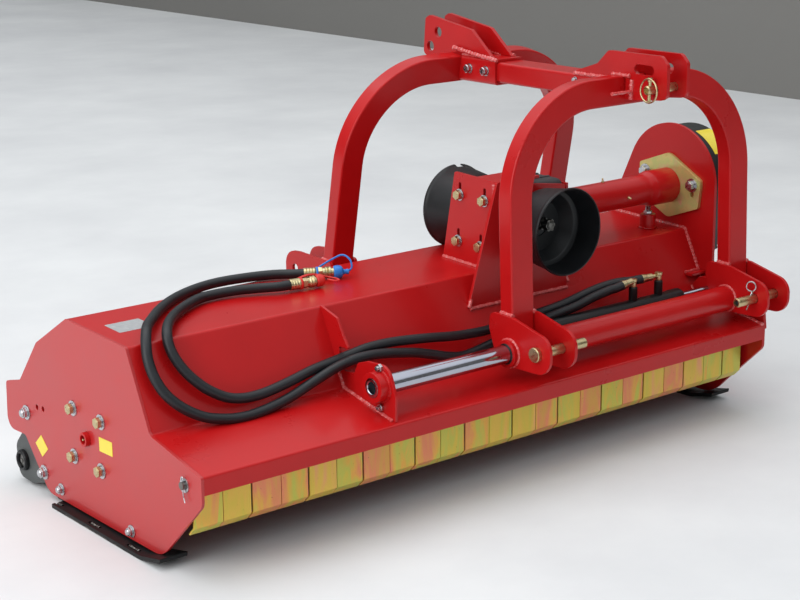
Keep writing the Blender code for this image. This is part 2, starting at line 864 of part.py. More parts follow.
def skids():
    """A sole with a turned up toe, three slots in its ledge and a flange to bolt it by."""
    for name, side in (("skid_left", -1), ("skid_right", 1)):
        wall = SIDE_PLATE_LEFT if side < 0 else SIDE_PLATE_RIGHT
        edge = side * (HALF_WIDTH + SKID_LEDGE)
        inner = side * (HALF_WIDTH + SKID_LEDGE - SKID_WIDTH)
        face = side * (HALF_WIDTH - wall - GAP)
        back = face - side * SKID_FLANGE
        sole = side_plate(rounded(SKID_OUTLINE, step=math.radians(5)), min(edge, inner), max(edge, inner))
        flange = side_plate(rounded(SKID_FLANGE_OUTLINE), min(face, back), max(face, back))
        middle = side * (HALF_WIDTH + SKID_LEDGE / 2)
        slots = [
            box(
                (middle - SKID_SLOT_WIDTH / 2, near, -0.01),
                (middle + SKID_SLOT_WIDTH / 2, far, 0.04),
            )
            for near, far in SKID_SLOTS
        ]
        finish(cut(join(sole, flange), *slots), name, "black_paint", frame)


def roller_group():
    """The rear roller on its stubs and the arm at each end."""
    roller = join(
        bar((-ROLLER_HALF_LENGTH, ROLLER_Y, ROLLER_RADIUS), (ROLLER_HALF_LENGTH, ROLLER_Y, ROLLER_RADIUS),
            ROLLER_RADIUS, 32),
        bar((LEFT_INNER + GAP, ROLLER_Y, ROLLER_RADIUS), (RIGHT_INNER - GAP, ROLLER_Y, ROLLER_RADIUS),
            ROLLER_STUB_RADIUS, 16),
    )
    finish(roller, "roller", "black_paint", frame, (0, ROLLER_Y, ROLLER_RADIUS))
    hole = circle((ROLLER_Y, ROLLER_RADIUS), seat(ROLLER_STUB_RADIUS), 16)
    outline = rounded(ROLLER_ARM_OUTLINE)
    left = side_plate(outline, LEFT_INNER, LEFT_INNER + ROLLER_ARM, [hole])
    finish(left, "roller_arm_left", "grey_paint", frame)
    right = side_plate(outline, RIGHT_INNER - ROLLER_ARM, RIGHT_INNER, [hole])
    finish(right, "roller_arm_right", "grey_paint", frame)


def flap_outline():
    """The rolled eye, the hanging sheet and its toe bent back, about the rod's centre."""
    front = -FLAP_SHEET / 2
    rear = FLAP_SHEET / 2
    first = math.atan2(-math.sqrt(FLAP_EYE_RADIUS ** 2 - rear ** 2), rear)
    last = math.atan2(-math.sqrt(FLAP_EYE_RADIUS ** 2 - front ** 2), front) + math.tau
    eye = [
        (
            FLAP_EYE_RADIUS * math.cos(first + (last - first) * step / 7),
            FLAP_EYE_RADIUS * math.sin(first + (last - first) * step / 7),
        )
        for step in range(8)
    ]
    bend = FLAP_SHEET * math.tan(math.pi / 8)
    lip = FLAP_SHEET / math.sqrt(2)
    return eye + [
        (front, -FLAP_LENGTH),
        (front + FLAP_TOE, -FLAP_LENGTH - FLAP_TOE),
        (front + FLAP_TOE + lip, -FLAP_LENGTH - FLAP_TOE + lip),
        (rear, -FLAP_LENGTH + bend),
    ]


def flaps():
    """The rod and its flaps, two to a rolled eye and one alone at the right end."""
    right_end = HALF_WIDTH + FLAP_ROD_OVERHANG
    rod = bar((-right_end, FLAP_ROD_Y, FLAP_ROD_Z), (right_end, FLAP_ROD_Y, FLAP_ROD_Z), FLAP_ROD_RADIUS, 8)
    finish(rod, "flap_rod", "bare_steel", frame)
    outline = [(FLAP_ROD_Y + y, FLAP_ROD_Z + z) for y, z in flap_outline()]
    hole = circle((FLAP_ROD_Y, FLAP_ROD_Z), seat(FLAP_ROD_RADIUS, 8), 8)
    for first in range(0, FLAP_COUNT, 2):
        width = min(2, FLAP_COUNT - first)
        left = FLAP_FIRST_X + FLAP_PITCH * first
        right = left + FLAP_PITCH * width - FLAP_GAP
        pair = side_plate(outline, left, right, [hole])
        if width == 2:
            middle = left + FLAP_PITCH
            below = FLAP_ROD_Z - FLAP_EYE_RADIUS
            pair = cut(pair, box((middle - FLAP_GAP, 0.0, 0.0), (middle, 0.2, below)))
        name = f"flap_{first // 2 + 1:02d}"
        finish(pair, name, "yellow_zinc", frame, ((left + right) / 2, FLAP_ROD_Y, FLAP_ROD_Z))


def disc_x(place):
    """Left face of one of the rotor's discs; the tube stands proud of the outermost."""
    first = -ROTOR_HALF_LENGTH + ROTOR_TUBE_PROUD
    return first - (2 * first + ROTOR_DISC) * place / HAMMERS_PER_ROW


def hammer_x(row, place):
    """Where a hammer sits along the rotor: each row is a third of a bay further on."""
    first = disc_x(place) + ROTOR_DISC
    bay = disc_x(place + 1) - first
    return first + bay * (row + 0.5) / len(HAMMER_ROWS)


def hinge_point(angle):
    """A hammer hinge's (y, z) at its angle round the rotor."""
    turn = math.radians(angle)
    return ROTOR_Y + HINGE_RADIUS * math.cos(turn), ROTOR_Z + HINGE_RADIUS * math.sin(turn)


def rotor():
    """Tube and shaft, with the bored discs that carry the three hinge rods."""
    axis = (ROTOR_Y, ROTOR_Z)
    tube = join(
        bar((-ROTOR_HALF_LENGTH, *axis), (ROTOR_HALF_LENGTH, *axis), ROTOR_TUBE_RADIUS, 16),
        bar((-HALF_WIDTH + SIDE_PLATE_LEFT + 0.006, *axis), (PULLEY_LEFT + PULLEY_WIDTH, *axis),
            ROTOR_SHAFT_RADIUS, 16),
    )
    outline = circle(axis, ROTOR_DISC_RADIUS, 16)
    discs = [
        side_plate(outline, disc_x(place), disc_x(place) + ROTOR_DISC)
        for place in range(HAMMERS_PER_ROW + 1)
    ]
    bores = []
    for angle in HAMMER_ROWS.values():
        hinge = hinge_point(angle)
        bores.append(bar((-HALF_WIDTH, *hinge), (HALF_WIDTH, *hinge), seat(HINGE_ROD_RADIUS, 8), 8))
    finish(cut(join(tube, bench(discs)), bench(bores)), "rotor", "black_paint", rotor_axis)


def hammer_outline():
    """A hanging hammer from the side: round eye, shank and heavy head."""
    return rounded([
        (-HAMMER_EYE_RADIUS, HAMMER_EYE_RADIUS, HAMMER_EYE_RADIUS * 0.98),
        (HAMMER_EYE_RADIUS, HAMMER_EYE_RADIUS, HAMMER_EYE_RADIUS * 0.98),
        (HAMMER_SHANK / 2, -0.034, 0),
        (HAMMER_HEAD / 2, -0.086, 0),
        (HAMMER_HEAD / 2, -HAMMER_LENGTH + 0.004, 0),
        (-HAMMER_HEAD / 2, -HAMMER_LENGTH, 0),
        (-HAMMER_HEAD / 2, -0.086, 0),
        (-HAMMER_SHANK / 2, -0.034, 0),
    ], step=math.radians(23))


def hammers():
    """Three hinge rods, each with its row of hammers hanging straight down."""
    left = disc_x(0) - HINGE_ROD_END
    right = disc_x(HAMMERS_PER_ROW) + ROTOR_DISC + HINGE_ROD_END
    for row, (letter, angle) in enumerate(HAMMER_ROWS.items()):
        y, z = hinge_point(angle)
        outline = [(y + u, z + v) for u, v in hammer_outline()]
        places = [hammer_x(row, place) for place in range(HAMMERS_PER_ROW)]
        solids = [side_plate(outline, x - HAMMER_WIDTH / 2, x + HAMMER_WIDTH / 2) for x in places]
        rod = bar((left, y, z), (right, y, z), HINGE_ROD_RADIUS, 8)
        finish(join(rod, bench(solids)), f"hammer_row_{letter}", "bare_steel", rotor_axis, (0, y, z))


def square(centre, width, radius):
    """A rounded square outline."""
    half = width / 2
    return rounded([
        (centre[0] + u * half, centre[1] + v * half, radius)
        for u, v in ((1, 1), (-1, 1), (-1, -1), (1, -1))
    ])


def bearing_housings():
    """Flanged housings inside the side plates; the left one has the grease boss."""
    axis = (ROTOR_Y, ROTOR_Z)
    bore = seat(ROTOR_SHAFT_RADIUS, 16)
    outline = square(axis, BEARING_FLANGE_WIDTH, 0.025)
    left = join(
        side_plate(outline, LEFT_INNER, LEFT_INNER + BEARING_FLANGE),
        bar((LEFT_INNER + BEARING_DEPTH, *axis), (LEFT_INNER, *axis), BEARING_HUB_RADIUS, 16),
        bar((LEFT_INNER + BEARING_FLANGE / 2, *axis), (-HALF_WIDTH - GREASE_BOSS_LENGTH, *axis),
            GREASE_BOSS_RADIUS, 16),
    )
    left = cut(
        left,
        bar((LEFT_INNER + BEARING_DEPTH + 0.01, *axis), (LEFT_INNER + 0.004, *axis), bore, 16),
        bar((-HALF_WIDTH - GREASE_BOSS_LENGTH - 0.01, *axis), (-HALF_WIDTH - 0.006, *axis), 0.012, 12),
    )
    finish(left, "bearing_housing_left", "black_paint", frame)
    right = join(
        side_plate(outline, RIGHT_INNER - BEARING_FLANGE, RIGHT_INNER),
        bar((RIGHT_INNER - BEARING_DEPTH, *axis), (RIGHT_INNER, *axis), BEARING_HUB_RADIUS, 16),
    )
    right = cut(right, bar((RIGHT_INNER - 0.1, *axis), (RIGHT_INNER + 0.1, *axis), bore, 16))
    finish(right, "bearing_housing_right", "black_paint", frame)


def slide_rods():
    """Two rods and the brackets that hold their left ends on the hood."""
    left = BRACKET_X - BRACKET_PLATE / 2 - BRACKET_BOSS
    for name, (y, z) in (("slide_rod_front", FRONT_ROD), ("slide_rod_rear", REAR_ROD)):
        rod = bar((left - 0.001, y, z), (EAR_X + EAR, y, z), SLIDE_ROD_RADIUS, 16)
        bore = bar((left - 0.01, y, z), (left + SLIDE_ROD_BORE_DEPTH, y, z), SLIDE_ROD_BORE, 16)
        finish(cut(rod, bore), name, "chrome", frame)
    for name, outline, rod in (
        ("rod_bracket_front_left", ROD_BRACKET_FRONT, FRONT_ROD),
        ("rod_bracket_rear_left", ROD_BRACKET_REAR, REAR_ROD),
    ):
        bracket = join(
            side_plate(rounded(outline), BRACKET_X - BRACKET_PLATE / 2, BRACKET_X + BRACKET_PLATE / 2),
            bar((left, *rod), (BRACKET_X, *rod), BRACKET_BOSS_RADIUS, 16),
        )
        bore = bar((left - 0.01, *rod), (BRACKET_X + 0.1, *rod), seat(SLIDE_ROD_RADIUS, 16), 16)
        finish(cut(bracket, hood_space(), bore), name, "red_paint", frame)


def leg_faces():
    """The x values of the clevis plates' faces, from left to right."""
    faces = []
    for centre in (HEADSTOCK_X - BALL_CENTRES / 2, HEADSTOCK_X + BALL_CENTRES / 2):
        for side in (-1, 1):
            inner = centre + side * (LEG_WIDTH / 2 + GAP)
            outer = inner + side * CLEVIS_PLATE
            faces.append((min(inner, outer), max(inner, outer)))
    return faces


def carriages():
    """Cross tubes on the slide rods, each with four clevis plates."""
    faces = leg_faces()
    left = faces[0][0] - CROSS_TUBE_COLLAR
    right = faces[-1][1]
    for name, outline, rod, pin in (
        ("carriage_front", FRONT_CLEVIS_OUTLINE, FRONT_ROD, FRONT_PIN),
        ("carriage_rear", REAR_CLEVIS_OUTLINE, REAR_ROD, REAR_PIN),
    ):
        hole = circle(pin, seat(HITCH_PIN_RADIUS, 12), 12)
        plates = [side_plate(rounded(outline), *pair, [hole]) for pair in faces]
        body = join(bar((left, *rod), (right, *rod), CROSS_TUBE_RADIUS, 16), bench(plates))
        body = cut(body, bar((left - 0.01, *rod), (right + 0.01, *rod), seat(SLIDE_ROD_RADIUS, 16), 16))
        if name == "carriage_front":
            body = join(body, cylinder_fork())
        finish(body, name, "red_paint", headstock)


def cylinder_fork():
    """The tang behind the front cross tube that holds the barrel's closed end."""
    y, z = CYLINDER
    outline = rounded([
        (FRONT_ROD[0] + 0.030, z - 0.022, 0.004),
        (y + 0.026, z - 0.022, 0.018),
        (y + 0.026, z + 0.022, 0.018),
        (FRONT_ROD[0] + 0.030, z + 0.022, 0.004),
    ])
    return side_plate(outline, BARREL_LEFT - GAP - 0.012, BARREL_LEFT - GAP)


def arch_outline(top, foot, inset, step=math.radians(15)):
    """The bent box section from the front: two legs and a top with round corners."""
    half = BALL_CENTRES / 2 + LEG_WIDTH / 2 - inset
    inner = BALL_CENTRES / 2 - LEG_WIDTH / 2 + inset
    height = top - foot
    return rounded([
        (HEADSTOCK_X - half, -inset, 0),
        (HEADSTOCK_X - half, height - inset, ARCH_OUTER_RADIUS - inset),
        (HEADSTOCK_X + half, height - inset, ARCH_OUTER_RADIUS - inset),
        (HEADSTOCK_X + half, -inset, 0),
        (HEADSTOCK_X + inner, -inset, 0),
        (HEADSTOCK_X + inner, height - LEG_WIDTH + inset, ARCH_INNER_RADIUS + inset),
        (HEADSTOCK_X - inner, height - LEG_WIDTH + inset, ARCH_INNER_RADIUS + inset),
        (HEADSTOCK_X - inner, -inset, 0),
    ], step=step)


def arch(top, foot, front, lean):
    """A hollow leaning arch, open at its feet."""
    place = {"lean": lean, "foot": (front, foot)}
    long_top = foot + (top - foot) / math.cos(math.atan(lean))
    solid = cross_plate(arch_outline(long_top, foot, 0), 0, LEG_DEPTH, **place)
    hollow = arch_outline(long_top, foot, LEG_WALL, step=math.radians(18))
    core = cross_plate(hollow, LEG_WALL, LEG_DEPTH - LEG_WALL, **place)
    return cut(solid, core)


def arch_space(top, foot, front, lean):
    """The arch's top bar with its clearance, for pieces welded over it."""
    long_top = (top - foot) / math.cos(math.atan(lean))
    wide = 0.2
    outline = [
        (HEADSTOCK_X - wide, long_top - 0.2),
        (HEADSTOCK_X + wide, long_top - 0.2),
        (HEADSTOCK_X + wide, long_top + GAP),
        (HEADSTOCK_X - wide, long_top + GAP),
    ]
    return cross_plate(outline, -GAP, LEG_DEPTH + GAP, lean=lean, foot=(front, foot))


def tube_block(grow, front, rear):
    """A block round the centre tube, grown on all four sides."""
    half = CENTRE_TUBE_WIDTH / 2 + grow
    return box(
        (HEADSTOCK_X - half, front, CENTRE_TUBE_BASE - grow),
        (HEADSTOCK_X + half, rear, CENTRE_TUBE_TOP + grow),
    )


def headstock_frame():
    """Front arch, rear arch with its sleeve, and the centre tube between them."""
    front = arch(FRONT_ARCH_TOP, FRONT_ARCH_FOOT, FRONT_ARCH_Y, FRONT_ARCH_LEAN)
    finish(front, "front_arch", "red_paint", headstock)
    rear = arch(REAR_ARCH_TOP, REAR_ARCH_FOOT, REAR_ARCH_Y, REAR_ARCH_LEAN)
    sleeve_rear = CENTRE_TUBE_REAR + 0.024
    rear = join(rear, tube_block(SLEEVE_WALL, SLEEVE_FRONT, sleeve_rear))
    rear = cut(rear, tube_block(GAP, SLEEVE_FRONT - 0.01, CENTRE_TUBE_REAR + GAP))
    finish(rear, "rear_arch", "red_paint", headstock)
    tube = tube_block(0, CENTRE_TUBE_FRONT, CENTRE_TUBE_REAR)
    core = tube_block(-CENTRE_TUBE_WALL, CENTRE_TUBE_FRONT - 0.01, CENTRE_TUBE_REAR + 0.01)
    finish(cut(tube, core), "centre_tube", "red_paint", headstock)


def top_plates(outline, holes):
    """The two plates of a top clevis."""
    plates = []
    for side in (-1, 1):
        outer = HEADSTOCK_X + side * TOP_CLEVIS_SPAN / 2
        inner = outer - side * TOP_CLEVIS_PLATE
        plates.append(side_plate(rounded(outline), min(outer, inner), max(outer, inner), holes))
    return plates


def top_clevises():
    """The slotted front clevis, tied by a bar, and the rear clevis with two holes."""
    pin_hole = circle(TOP_PIN, seat(TOP_PIN_RADIUS, 12), 12)
    holes = [slot(TOP_SLOT, TOP_SLOT_LENGTH, TOP_SLOT_WIDTH), pin_hole]
    half = TOP_CLEVIS_SPAN / 2 - TOP_CLEVIS_PLATE / 2
    tie = box((HEADSTOCK_X - half, *TOP_TIE_FRONT[0]), (HEADSTOCK_X + half, *TOP_TIE_FRONT[1]))
    front = join(bench(top_plates(TOP_CLEVIS_FRONT, holes)), tie)
    front = cut(front, arch_space(FRONT_ARCH_TOP, FRONT_ARCH_FOOT, FRONT_ARCH_Y, FRONT_ARCH_LEAN))
    finish(front, "top_clevis_front", "red_paint", headstock)

    holes = [circle(spot, TOP_PIN_RADIUS, 12) for spot in TOP_REAR_HOLES]
    tie = box((HEADSTOCK_X - half, *TOP_TIE_REAR[0]), (HEADSTOCK_X + half, *TOP_TIE_REAR[1]))
    rear = join(bench(top_plates(TOP_CLEVIS_REAR, holes)), tie)
    rear = cut(
        rear,
        arch_space(REAR_ARCH_TOP, REAR_ARCH_FOOT, REAR_ARCH_Y, REAR_ARCH_LEAN),
        tube_block(SLEEVE_WALL + GAP, SLEEVE_FRONT - 0.01, CENTRE_TUBE_REAR + 0.026),
    )
    finish(rear, "top_clevis_rear", "red_paint", headstock)


def headed_pin(name, spot, radius, head, near, far):
    """A pin at (y, z) whose head is at the near end."""
    y, z = spot
    side = 1 if far > near else -1
    pin = join(
        bar((near - side * PIN_HEAD / 2, y, z), (far, y, z), radius, 16),
        bar((near - side * PIN_HEAD, y, z), (near, y, z), head, 16),
    )
    finish(pin, name, "zinc", headstock)


def pins():
    """The two lower hitch pins and the top link pin."""
    faces = leg_faces()
    headed_pin("hitch_pin_front_left", FRONT_PIN, HITCH_PIN_RADIUS, HITCH_PIN_HEAD,
               faces[0][0] - GAP, faces[1][1] + 0.075)
    headed_pin("hitch_pin_front_right", FRONT_PIN, HITCH_PIN_RADIUS, HITCH_PIN_HEAD,
               faces[3][1] + GAP, faces[2][0] - 0.075)
    half = TOP_CLEVIS_SPAN / 2 + GAP
    headed_pin("top_link_pin", TOP_PIN, TOP_PIN_RADIUS, TOP_PIN_HEAD,
               HEADSTOCK_X + half, HEADSTOCK_X - half - 0.034)


def shift_cylinder():
    """Barrel with two ports on the headstock; rod, piston and lug on the hood."""
    y, z = CYLINDER
    length = BARREL_RIGHT - BARREL_LEFT
    gland = seat(PISTON_ROD_RADIUS, 16)
    bore = seat(BARREL_BORE, 16)
    barrel = turned([
        (0, length - length),
        (BARREL_RADIUS, 0),
        (BARREL_RADIUS, length),
        (gland, length),
        (gland, length - GLAND),
        (bore, length - GLAND),
        (bore, BARREL_CAP),
        (0, BARREL_CAP),
    ], (BARREL_LEFT, y, z), (BARREL_RIGHT, y, z), 16)
    fittings = []
    for letter, x in PORTS.items():
        top = PORT_TOPS[letter]
        end = Vector(FERRULE_ENDS[letter])
        fittings.append(bar((x, y, z + BARREL_RADIUS - 0.003), (x, y, top + PORT_CROWN), PORT_RADIUS, 10))
        fittings.append(bar((x, y, top), end, FERRULE_RADIUS, 10))
    finish(join(barrel, *fittings), "cylinder_barrel", "black_paint", headstock)

    piston_left = BARREL_RIGHT - SHIFT_STROKE - GLAND - PISTON - 0.004
    lug_right = LUG_PLATE_X + LUG_PLATE / 2
    rod = join(
        bar((piston_left, y, z), (piston_left + PISTON, y, z), BARREL_BORE, 16),
        bar((piston_left + PISTON / 2, y, z), (LUG_PLATE_X - LUG_PLATE / 2 - GAP, y, z), PISTON_ROD_RADIUS, 16),
        bar((LUG_PLATE_X - LUG_PLATE, y, z), (lug_right + 0.014, y, z), 0.010, 12),
        bar((lug_right + GAP, y, z), (lug_right + GAP + 0.011, y, z), 0.017, 6),
    )
    finish(rod, "cylinder_rod", "chrome", frame)
    lug = side_plate(
        rounded(LUG_OUTLINE), LUG_PLATE_X - LUG_PLATE / 2, lug_right, [circle(CYLINDER, seat(0.010, 12), 12)]
    )
    finish(cut(lug, hood_space()), "cylinder_lug", "red_paint", frame)


def smooth(route, spacing):
    """Evenly spaced points on a smooth curve through the points of a route."""
    points = [Vector(point) for point in route]
    ends = [2 * points[0] - points[1], *points, 2 * points[-1] - points[-2]]
    fine = []
    for index in range(1, len(ends) - 2):
        before, here, there, after = ends[index - 1:index + 3]
        for step in range(12):
            t = step / 12
            fine.append(0.5 * (
                2 * here
                + (there - before) * t
                + (2 * before - 5 * here + 4 * there - after) * t ** 2
                + (3 * here - before - 3 * there + after) * t ** 3
            ))
    fine.append(points[-1])
    lengths = [0.0]
    for near, far in zip(fine, fine[1:]):
        lengths.append(lengths[-1] + (far - near).length)
    count = round(lengths[-1] / spacing)
    chosen = []
    for place in range(count + 1):
        target = lengths[-1] * place / count
        index = min(max(1, sum(length < target for length in lengths)), len(fine) - 1)
        share = (target - lengths[index - 1]) / (lengths[index] - lengths[index - 1])
        chosen.append(fine[index - 1].lerp(fine[index], share))
    return chosen


def with_the_end(point):
    """A hose's route point, moved with the end of the mulcher that it lies near."""
    share = max(-1.0, min(1.0, point[0] / HOSE_NEAR_AN_END))
    return Vector((point[0] + (HALF_WIDTH - HOSE_LAID_OUT_ON) * share, *point[1:]))


def hose_points(letter):
    """A hose from its ferrule to its coupler, straight for a little at both ends."""
    port = Vector((PORTS[letter], CYLINDER[0], PORT_TOPS[letter]))
    ferrule = Vector(FERRULE_ENDS[letter])
    away = (ferrule - port).normalized()
    near, far = (Vector(point) for point in COUPLERS[letter])
    back = (near - far).normalized()
    route = [
        ferrule + away * HOSE_STRAIGHT,
        *(with_the_end(point) for point in HOSE_ROUTES[letter]),
        near + back * HOSE_STRAIGHT,
    ]
    return [ferrule + away * GAP, *smooth(route, HOSE_SPACING), near + back * GAP]


def hoses():
    """Two free hoses and the couplers that lie on the hood."""
    for letter, cap in (("a", "blue_cap"), ("b", "red_cap")):
        data = bpy.data.curves.new("hose", "CURVE")
        data.dimensions = "3D"
        data.bevel_depth = HOSE_RADIUS
        data.bevel_resolution = 2
        data.use_fill_caps = True
        points = hose_points(letter)
        spline = data.splines.new("POLY")
        spline.points.add(len(points) - 1)
        for point, place in zip(spline.points, points):
            point.co = (*place, 1)
        finish(as_mesh(shape(data)), f"hose_{letter}", "rubber", frame)

        near, far = COUPLERS[letter]
        length = (Vector(far) - Vector(near)).length
        coupler = turned([
            (0, 0),
            (FERRULE_RADIUS, 0),
            (FERRULE_RADIUS, 0.036),
            (0.012, 0.038),
            (0.012, 0.044),
            (COUPLER_RADIUS - 0.001, 0.046),
            (COUPLER_RADIUS - 0.001, length - 0.034),
            (DUST_CAP_RADIUS - 0.001, length - 0.034),
            (DUST_CAP_RADIUS - 0.001, length),
            (0, length),
        ], near, far, 12)
        finish(coupler, f"coupler_{letter}", cap, frame)


def gearbox_bracket():
    """Two plates, a flared front panel and a top plate, standing on the hood."""
    half = GEARBOX_WIDTH / 2 + GAP
    plates = []
    for side in (-1, 1):
        inner = PTO_X + side * half
        outer = inner + side * GEARBOX_PLATE
        slots = [
            slot((y, z + (PLATE_SLOT_LENGTH - PLATE_SLOT_WIDTH) / 2 - 0.004),
                 PLATE_SLOT_LENGTH, PLATE_SLOT_WIDTH, upright=True)
            for y, z in PLATE_SLOTS
        ]
        plates.append(side_plate(rounded(GEARBOX_PLATE_OUTLINE), min(inner, outer), max(inner, outer), slots))
    wide = half + GEARBOX_PLATE
    panel = cross_plate(
        rounded([
            (PTO_X - PANEL_BASE_HALF, PANEL_BASE, 0),
            (PTO_X - wide, PANEL_TOP, 0),
            (PTO_X + wide, PANEL_TOP, 0),
            (PTO_X + PANEL_BASE_HALF, PANEL_BASE, 0),
        ]),
        PANEL_Y,
        PANEL_Y + PANEL + 0.002,
        [circle((PTO_X, DRIVE_Z), seat(GEARBOX_BOSS_RADIUS, 16), 16)],
    )
    top = box(
        (PTO_X - half - 0.002, PANEL_Y + 0.001, GEARBOX_TOP + 0.014),
        (PTO_X + half + 0.002, 0.440, GEARBOX_TOP + 0.022),
    )
    bracket = cut(join(panel, bench(plates), top), hood_space())
    finish(bracket, "gearbox_bracket", "red_paint", frame)


def gearbox():
    """The cast body with its shaft bosses, bored for the input shaft."""
    half = GEARBOX_WIDTH / 2
    body = box(
        (PTO_X - half, GEARBOX_FRONT, GEARBOX_BASE),
        (PTO_X + half, GEARBOX_REAR, GEARBOX_TOP),
    )
    edge = body.modifiers.new("casting_edges", "BEVEL")
    edge.width = 0.018
    edge.segments = 1
    body = as_mesh(body)
    axis = (PTO_X, DRIVE_Z)
    boss = bar((axis[0], GEARBOX_BOSS_FRONT, axis[1]), (axis[0], GEARBOX_BOSS_REAR, axis[1]),
               GEARBOX_BOSS_RADIUS, 16)
    bore = bar((axis[0], PTO_FRONT, axis[1]), (axis[0], PTO_REAR, axis[1]), seat(PTO_JOURNAL_RADIUS, 16), 16)
    finish(cut(join(body, boss), bore), "gearbox", "grey_paint", frame)


def spline_outline():
    """Section of the splined shaft, in (x, z)."""
    points = []
    for tooth in range(PTO_SPLINES):
        middle = math.tau * tooth / PTO_SPLINES
        for offset, depth in ((-15, PTO_SPLINE_DEPTH), (-14, 0), (14, 0), (15, PTO_SPLINE_DEPTH)):
            angle = middle + math.radians(offset)
            radius = PTO_SHAFT_RADIUS - depth
            points.append((PTO_X + radius * math.cos(angle), DRIVE_Z + radius * math.sin(angle)))
    return points


def input_shaft():
    """The splined shaft through the gearbox, a plain journal where it runs inside."""
    journal = bar((PTO_X, GEARBOX_BOSS_FRONT + 0.004, DRIVE_Z), (PTO_X, GEARBOX_BOSS_REAR - 0.004, DRIVE_Z),
                  PTO_JOURNAL_RADIUS, 16)
    shaft = join(cross_plate(spline_outline(), PTO_FRONT, PTO_REAR), journal)
    finish(shaft, "input_shaft", "bare_steel", frame, (PTO_X, (PTO_FRONT + PTO_REAR) / 2, DRIVE_Z))


def guards():
    """The cone over each end of the input shaft, open at the mouth."""
    for name, back, way in (
        ("input_guard_front", GEARBOX_BOSS_FRONT - GAP, -1),
        ("input_guard_rear", GEARBOX_BOSS_REAR + GAP, 1),
    ):
        mouth = back + way * GUARD_LENGTH
        guard = turned([
            (GUARD_HOLE, 0),
            (GUARD_BACK_RADIUS, 0),
            (GUARD_BACK_RADIUS + 0.004, 0.012),
            (GUARD_MOUTH_RADIUS, GUARD_LENGTH - 0.008),
            (GUARD_MOUTH_RADIUS, GUARD_LENGTH),
            (GUARD_MOUTH_RADIUS - GUARD_WALL, GUARD_LENGTH),
            (GUARD_BACK_RADIUS + 0.002, 0.046),
            (GUARD_BACK_RADIUS - 0.012, 0.042),
            (GUARD_BACK_RADIUS - 0.014, GUARD_WALL),
            (GUARD_HOLE, GUARD_WALL),
        ], (PTO_X, back, DRIVE_Z), (PTO_X, mouth, DRIVE_Z), 20)
        finish(guard, name, "plastic", frame)


def output_drive():
    """Tapered housing and flange, the shaft inside them with the upper pulley, and the jack."""
    left = PTO_X + GEARBOX_WIDTH / 2 + 2 * GAP + GEARBOX_PLATE
    flange_right = RIGHT_INNER
    right = flange_right - FLANGE - GAP
    axis = (DRIVE_Y, DRIVE_Z)
    length = right - left - GAP
    housing = turned([
        (HOUSING_BORE, 0),
        (HOUSING_LEFT_RADIUS + 0.012, 0),
        (HOUSING_LEFT_RADIUS + 0.012, 0.014),
        (HOUSING_LEFT_RADIUS, 0.018),
        (HOUSING_RIGHT_RADIUS, length - 0.02),
        (HOUSING_RIGHT_RADIUS, length),
        (HOUSING_BORE, length),
    ], (left + GAP, *axis), (right, *axis), 20)
    finish(housing, "output_housing", "red_paint", frame)
    flange = side_plate(
        rounded(FLANGE_OUTLINE), flange_right - FLANGE, flange_right, [circle(axis, HOUSING_BORE, 16)]
    )
    finish(flange, "housing_flange", "yellow_zinc", frame)

    pulley_right = PULLEY_LEFT + PULLEY_WIDTH
    shaft = join(
        bar((left + GAP, *axis), (pulley_right + 0.006, *axis), DRIVE_SHAFT_RADIUS, 16),
        pulley(axis, UPPER_PULLEY_RADIUS),
    )
    finish(shaft, "drive_shaft", "bare_steel", frame, (pulley_right, *axis))
    lower = cut(
        pulley((ROTOR_Y, ROTOR_Z), LOWER_PULLEY_RADIUS),
        bar((PULLEY_LEFT - 0.01, ROTOR_Y, ROTOR_Z), (pulley_right + 0.01, ROTOR_Y, ROTOR_Z),
            seat(ROTOR_SHAFT_RADIUS, 16), 16),
    )
    finish(lower, "rotor_pulley", "bare_steel", rotor_axis)

    foot = hood_top(JACK_Y + JACK_STUB_RADIUS) + GAP
    crown = DRIVE_Z - HOUSING_RIGHT_RADIUS - GAP
    jack = join(
        bar((JACK_X, JACK_Y, foot), (JACK_X, JACK_Y, JACK_STUB_TOP), JACK_STUB_RADIUS, 12),
        bar((JACK_X, JACK_Y, JACK_STUB_TOP - 0.01), (JACK_X, JACK_Y, crown), 0.008, 8),
        bar((JACK_X, JACK_Y, crown - 0.008), (JACK_X, JACK_Y, crown), 0.013, 6),
    )
    finish(jack, "belt_tension_jack", "red_paint", frame)


def pulley(axis, radius):
    """A belt pulley: a rim with a thinner web and a hub."""
    right = PULLEY_LEFT + PULLEY_WIDTH
    web = 0.018
    return turned([
        (0, 0),
        (radius, 0),
        (radius, PULLEY_WIDTH),
        (radius - 0.014, PULLEY_WIDTH),
        (radius - 0.014, web),
        (0.042, web),
        (0.042, PULLEY_WIDTH),
        (0, PULLEY_WIDTH),
    ], (PULLEY_LEFT, *axis), (right, *axis), 20)


def loop_outline(upper_radius, lower_radius, steps=14):
    """The line round both pulley centres at these radii, as a tight belt runs."""
    upper = Vector((DRIVE_Y, DRIVE_Z))
    lower = Vector((ROTOR_Y, ROTOR_Z))
    line = upper - lower
    middle = math.atan2(line.y, line.x)
    lean = math.acos((lower_radius - upper_radius) / line.length)
    points = []
    for centre, radius, first, last in (
        (upper, upper_radius, middle - lean, middle + lean),
        (lower, lower_radius, middle + lean, middle + math.tau - lean),
    ):
        for step in range(steps + 1):
            angle = first + (last - first) * step / steps
            points.append((centre.x + radius * math.cos(angle), centre.y + radius * math.sin(angle)))
    return points


